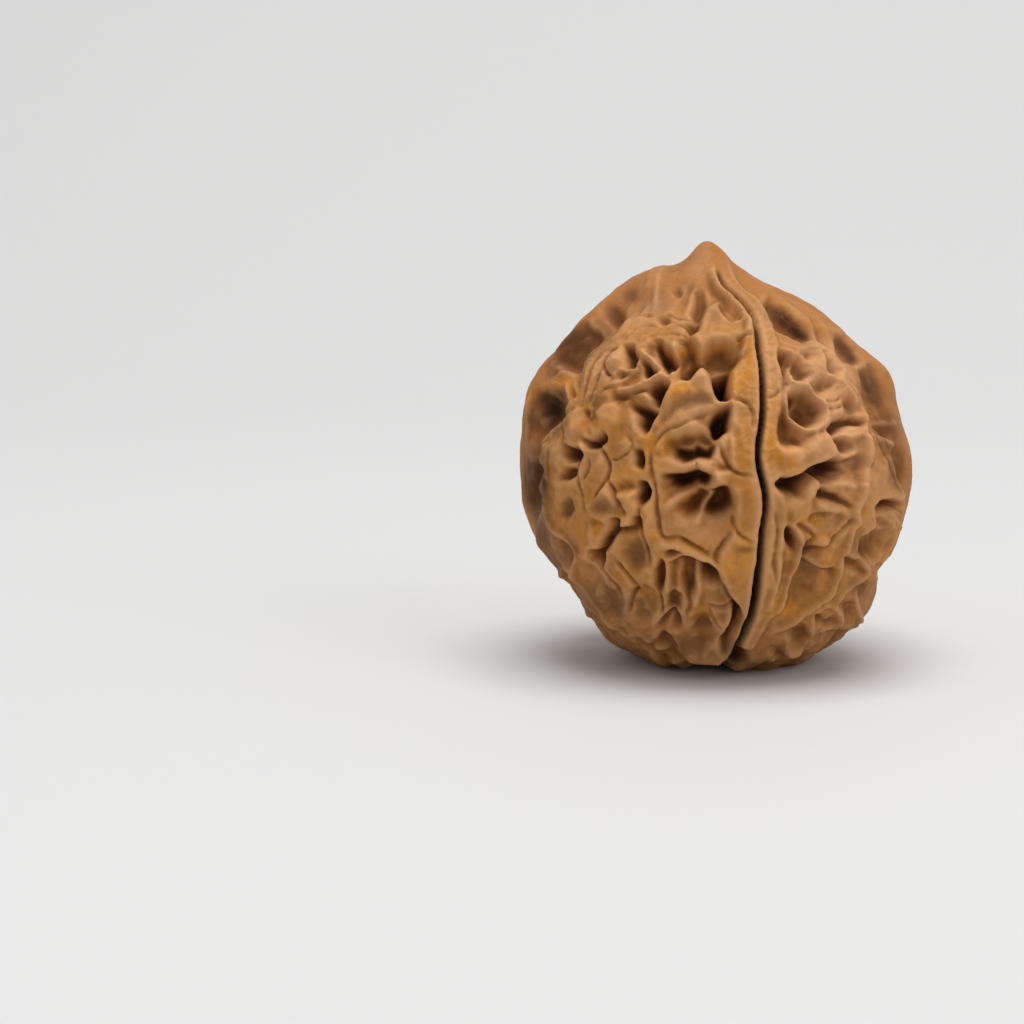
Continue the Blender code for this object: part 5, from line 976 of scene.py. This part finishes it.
def paint(relief):
    """Where the shell is ochre, where stains mixed with painted shade, painted shade, painted deep
    shadow and painted highlights lie on it, where the seam's crack and the fibres in it run, and which
    parts of it are the smooth sides and the foot, both darkened as painted shade."""
    sight = pixels_of(relief.query + relief.out * relief.lift[:, None])
    ahead = ramp(-(relief.out @ eye_and_axes()[1]), -0.05, 0.15)
    marks = {}
    for name, ovals in MARKS.items():
        marks[name] = np.zeros(len(relief.lift))
        for pixel, half_wide, half_tall, lean, strength in ovals:
            turn = math.radians(lean)
            across, down = ((sight - pixel) / PIXELS_PER_MM).T
            share = np.hypot((across * math.cos(turn) + down * math.sin(turn)) / half_wide,
                             (down * math.cos(turn) - across * math.sin(turn)) / half_tall)
            side = eased(1 - ramp(share, 0.35, 1.1))
            marks[name] = np.maximum(marks[name], strength * side * ahead)

    crack = np.zeros(len(relief.lift))
    for part, half_width, route in ((1.0, 0.26, SEAM_LINE[4:]), (1.0, 0.34, SEAM_LINE[6:]),
                                    (0.8, 0.24, SEAM_LINE[1:5]), (1.0, 0.40, WIDE_CRACK)):
        crack += part * relief.share(smooth_route(seen(route)), half_width, flat_topped, steady=True)
    crack += relief.share(smooth_route(around(BACK_SEAM)), 0.36, flat_topped, tapered=False, steady=True)
    marks["crack"] = np.minimum(crack, 1.0)
    marks["fibre"] = marks["crack"] * ramp(sight[:, 1], 500, 90) * ahead
    # Painted shade: the smooth sides and the foot are marked so that the finish darkens them.
    marks["wing"] = 1 - np.maximum(relief.lumpy(1), relief.lumpy(-1))
    marks["low"] = 1 - ramp(relief.plain[:, 2], 1, 12)
    return marks


def cube_ball(cells, focus):
    """A cube with a grid on each side, blown up into a ball one unit in radius. A focus above 0 draws
    its faces closer together towards -Y, and further apart behind."""
    ball = bmesh.new()
    bmesh.ops.create_cube(ball, size=2)
    bmesh.ops.subdivide_edges(ball, edges=ball.edges[:], cuts=cells - 1, use_grid_fill=True)
    for vert in ball.verts:
        even = Vector([math.tan(axis * math.pi / 4) for axis in vert.co]).normalized()
        vert.co = (even - Vector((0.0, focus, 0.0))).normalized()
    return ball


def build_shell(cells):
    """The fine shell with, for each point, how hollow, crested or creased the surface is there."""
    ball = cube_ball(cells, focus=0.25)
    directions = np.array([vert.co for vert in ball.verts], float)
    ends = np.array([[vert.index for vert in edge.verts] for edge in ball.edges])
    relief = shell_relief(directions, ends, spacing=math.pi / 2 * MIDDLE / cells)
    points = relief.plain + relief.out * relief.lift[:, None]
    points[:, 2] = np.maximum(points[:, 2], 0.0)
    middle = (points.min(axis=0) + points.max(axis=0)) / 2
    for vert, point in zip(ball.verts, (points - (middle[0], middle[1], 0.0)) * MM):
        vert.co = Vector(point)
    mesh = bpy.data.meshes.new("shell")
    ball.to_mesh(mesh)
    ball.free()
    mesh.shade_smooth()

    # The surface set against blurs of itself, for each blur's fewest and usual rounds.
    fineness = (cells / FULL_CELLS) ** 2
    close, middling, wide = [softened(relief.lift, ends, max(fewest, int(rounds * fineness)))
                             for fewest, rounds in ((2, 16), (3, 70), (4, 420))]
    marks = paint(relief)
    # Of these, hollow, pit and crease carry painted shade, and crest and high carry painted light.
    for name, height, start, width in (
            ("hollow", wide - relief.lift, 0.08, 1.5), ("pit", middling - relief.lift, 0.06, 0.9),
            ("crest", relief.lift - close, 0.01, 0.10), ("crease", close - relief.lift, 0.02, 0.16),
            ("high", relief.lift - middling, 0.0, 0.6)):
        marks[name] = ramp(height, start, width)
    for name, values in marks.items():
        layer = mesh.attributes.new(name, "FLOAT", "POINT")
        layer.data.foreach_set("value", softened(values, ends, 2).astype(np.float32))
    return bpy.data.objects.new("shell", mesh), middle


class Signal:
    """A number that varies over a surface. Python's arithmetic on it adds the shader's own maths."""

    def __init__(self, finish, socket):
        self.finish = finish
        self.socket = socket

    def maths(self, operation, first, second):
        return self.finish.node("ShaderNodeMath", {"operation": operation}, {0: first, 1: second})

    def __add__(self, other):
        return self.maths("ADD", self, other)

    def __sub__(self, other):
        return self.maths("SUBTRACT", self, other)

    def __rsub__(self, other):
        return self.maths("SUBTRACT", other, self)

    def __mul__(self, other):
        return self.maths("MULTIPLY", self, other)

    __radd__ = __add__
    __rmul__ = __mul__

    def between(self, low, high):
        """0 up to low, 1 from high, and a smooth rise from one to the other."""
        return self.finish.node("ShaderNodeMapRange", {"interpolation_type": "SMOOTHSTEP"},
                                {"Value": self, "From Min": low, "From Max": high})


class Finish:
    """A material that is put together node by node."""

    # The mix node's sockets for colours: its factor, its two colours and its result.
    FACTOR, FIRST_COLOUR, OTHER_COLOUR, MIXED_COLOUR = 0, 6, 7, 2

    def __init__(self, name):
        self.material = bpy.data.materials.new(name)
        self.material.use_nodes = True
        self.tree = self.material.node_tree
        self.surface = self.tree.nodes["Principled BSDF"]

    def feed(self, socket, value):
        if isinstance(value, Signal):
            self.tree.links.new(value.socket, socket)
        else:
            socket.default_value = value

    def node(self, kind, settings, sockets, output=0):
        made = self.tree.nodes.new(kind)
        for name, value in settings.items():
            setattr(made, name, value)
        for name, value in sockets.items():
            self.feed(made.inputs[name], value)
        return Signal(self, made.outputs[output])

    def place(self):
        """Where a point lies on the object, in metres."""
        return self.node("ShaderNodeTexCoord", {}, {}, output="Object")

    def mark(self, name):
        """One of the marks that the mesh carries."""
        return self.node("ShaderNodeAttribute", {"attribute_name": name}, {}, output="Fac")

    def grain(self, size, detail, roughness, stretch=(1, 1, 1)):
        """Random cloudiness, from 0 to 1, with features of about this size in metres."""
        place = self.node("ShaderNodeMapping", {}, {"Vector": self.place(), "Scale": stretch})
        return self.node("ShaderNodeTexNoise", {"noise_dimensions": "3D"},
                         {"Vector": place, "Scale": 1 / size, "Detail": detail, "Roughness": roughness})

    def veins(self, size, bend):
        """1 on thin wandering lines that part the surface into cells of about this size in metres."""
        place = self.place()
        drift = self.node("ShaderNodeTexNoise", {}, {"Vector": place, "Scale": 1 / size}, output="Color")
        drift = self.node("ShaderNodeVectorMath", {"operation": "SCALE"}, {0: drift, "Scale": bend})
        place = self.node("ShaderNodeVectorMath", {"operation": "ADD"}, {0: place, 1: drift})
        edge = self.node("ShaderNodeTexVoronoi", {"feature": "DISTANCE_TO_EDGE"},
                         {"Vector": place, "Scale": 1 / size}, output="Distance")
        return 1 - edge.between(0.0, 0.09)

    def blend(self, share, colour, other):
        """The first colour, turning into the other as share goes from 0 to 1."""
        return self.node("ShaderNodeMix", {"data_type": "RGBA"},
                         {self.FACTOR: share, self.FIRST_COLOUR: colour, self.OTHER_COLOUR: other},
                         output=self.MIXED_COLOUR)

    def put(self, **sockets):
        for name, value in sockets.items():
            self.feed(self.surface.inputs[name.replace("_", " ")], value)


def shell_finish():
    """Waxy, handled wood: golden tan with ochre on the high parts, painted shade that makes it brown
    in dishes and black in pits, and painted light on its crests and raised lumps.
    """
    finish = Finish("walnut_shell")
    hollow, pit, crest, crease = [finish.mark(name) for name in ("hollow", "pit", "crest", "crease")]
    high, crack, ochre = [finish.mark(name) for name in ("high", "crack", "ochre")]
    smudge_and_shade, shade, dark, pale = [finish.mark(name) for name in ("smudge_and_shade", "shade", "dark", "pale")]
    wing, low, fibre = [finish.mark(name) for name in ("wing", "low", "fibre")]
    clouds = finish.grain(0.0060, 3, 0.55)
    mottle = finish.grain(0.0042, 4, 0.6, (1, 1, 0.8)).between(0.52, 0.72)
    blotches = finish.grain(0.0022, 4, 0.6)
    specks = finish.grain(0.0004, 3, 0.6)
    threads = finish.grain(0.00030, 2, 0.5, (1, 1, 0.5)).between(0.50, 0.62)
    veins = finish.veins(0.0019, 0.0016) * blotches.between(0.42, 0.62)

    # The clean shell's two browns, and each colour laid over them in turn with its share.
    colour = finish.blend(clouds.between(0.35, 0.68), (0.400, 0.168, 0.044, 1), (0.480, 0.218, 0.070, 1))
    coats = [
        # Painted light: the high parts lighter and pinker.
        (high * 0.60, (0.600, 0.300, 0.125)),
        # Painted shade: darker, more orange brown on the smooth sides.
        (wing * 0.60, (0.370, 0.140, 0.035)),
        (ochre * 0.85 + blotches.between(0.55, 0.78) * 0.25, (0.580, 0.225, 0.020)),
        (mottle * 0.32, (0.230, 0.100, 0.036)),
        # Painted highlights, pale pink.
        (pale * 0.65, (0.610, 0.315, 0.160)),
        # Painted shade: darker towards the foot.
        (low * (clouds * 0.5 + 0.25), (0.190, 0.078, 0.022)),
        # Smudges: partly stains of the shell's own, partly painted shade.
        (smudge_and_shade * (blotches * 0.8 + 0.60), (0.125, 0.054, 0.021)),
        # Painted shade in the valleys, and painted deep shadow near black in the darkest spots.
        (shade * (blotches * 0.3 + 0.80), (0.075, 0.021, 0.006)),
        (dark, (0.020, 0.008, 0.004)),
        # Painted shade in pits, hollows and creases, near black in the deepest pits.
        (pit.between(0.0, 0.75) * 0.55, (0.150, 0.052, 0.015)),
        (hollow.between(0.0, 1.0) * 0.45, (0.115, 0.040, 0.013)),
        (pit.between(0.75, 1.0) * hollow.between(0.3, 0.8) * 0.7, (0.030, 0.012, 0.006)),
        (crease * 0.62, (0.155, 0.058, 0.017)),
        (veins * 0.12, (0.170, 0.066, 0.020)),
        # Painted highlight on the crests.
        (crest * 0.40, (0.640, 0.350, 0.165)),
        (crack, (0.018, 0.009, 0.005)),
        (fibre * threads, (0.210, 0.150, 0.075)),
        (specks.between(0.62, 0.80) * 0.25, (0.220, 0.090, 0.030)),
    ]
    for share, coat in coats:
        colour = finish.blend(share, colour, (*coat, 1))
    height = finish.grain(0.0006, 4, 0.65) + specks * 0.4 - veins * 0.7
    bump = finish.node("ShaderNodeBump", {}, {"Height": height, "Strength": 0.5, "Distance": 0.00012})
    finish.put(Base_Color=colour, Roughness=0.50 + clouds * 0.12 + hollow * 0.2 + crack * 0.2,
               Normal=bump, Specular_IOR_Level=0.14, Specular_Tint=(1.0, 0.82, 0.62, 1))
    return finish.material


shell, shell_middle = build_shell(CUBE_CELLS)
shell.data.materials.append(shell_finish())
bpy.context.scene.collection.objects.link(shell)
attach(shell, "root")
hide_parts("walnut")


# The table and the backdrop
# One pale sheet of matt board, level under the nut and curved up softly well behind it. It is only
# what the nut stands on and isn't part of it.
def sweep_mesh(half_width, front, bend_start, bend_radius, top):
    """A sheet that runs back from the front, bends up in a quarter circle and rises to the top."""
    turns = np.radians(np.linspace(0, 90, 25))
    profile = [(front, 0.0)]
    profile += [(bend_start + bend_radius * math.sin(t), bend_radius * (1 - math.cos(t))) for t in turns]
    profile.append((bend_start + bend_radius, top))
    sheet = bmesh.new()
    rows = [[sheet.verts.new((side * half_width, y, z)) for side in (-1, 1)] for y, z in profile]
    for near, far in zip(rows, rows[1:]):
        sheet.faces.new((near[0], near[1], far[1], far[0]))
    mesh = bpy.data.meshes.new("backdrop")
    sheet.to_mesh(mesh)
    sheet.free()
    mesh.shade_smooth()
    return mesh


sweep = sweep_mesh(half_width=2.5, front=-3.0, bend_start=0.22, bend_radius=0.45, top=1.4)
backdrop = bpy.data.objects.new("backdrop", sweep)
paper = Finish("matt_board")
paper.put(Base_Color=(0.650, 0.650, 0.650, 1), Roughness=0.75)
backdrop.data.materials.append(paper.material)
bpy.context.scene.collection.objects.link(backdrop)


# The light
# A wide soft box almost straight above, a weaker one low on the right in front, and white walls all
# round that fill the shadows.
def soft_box(name, place, size, watts, aim=(0, 0, 0.02)):
    """A rectangular lamp that faces the nut's middle."""
    lamp = bpy.data.lights.new(name, "AREA")
    lamp.shape = "RECTANGLE"
    lamp.size, lamp.size_y = size
    lamp.energy = watts
    box = bpy.data.objects.new(name, lamp)
    box.location = place
    box.rotation_euler = (Vector(aim) - Vector(place)).to_track_quat("-Z", "Y").to_euler()
    bpy.context.scene.collection.objects.link(box)


soft_box("main_light", (0.04, -0.06, 0.85), size=(0.66, 0.56), watts=5.9)
soft_box("side_light", (0.45, -0.45, 0.35), size=(0.40, 0.40), watts=0.9)
walls = bpy.data.worlds.new("white_walls")
bpy.context.scene.world = walls
walls.use_nodes = True
walls.node_tree.nodes["Background"].inputs["Color"].default_value = (1.0, 0.99, 0.98, 1)
walls.node_tree.nodes["Background"].inputs["Strength"].default_value = 0.50
bpy.context.scene.view_settings.view_transform = "Standard"


# The camera
# It looks a little down at the nut from in front, with the nut to the right of the middle.
right, ahead, up, eye = eye_and_axes()
FILM_WIDTH = 36.0
lens = bpy.data.cameras.new("camera")
lens.sensor_width = FILM_WIDTH
lens.lens = FILM_WIDTH * EYE_DISTANCE * PIXELS_PER_MM / (2 * SHEET_CENTRE[0])
lens.clip_start = 0.01
camera = bpy.data.objects.new("camera", lens)
place = Vector((eye - (shell_middle[0], shell_middle[1], 0.0)) * MM)
axes = Matrix((right, up, -ahead)).transposed().to_4x4()
camera.matrix_world = Matrix.Translation(place) @ axes
bpy.context.scene.collection.objects.link(camera)
bpy.context.scene.camera = camera
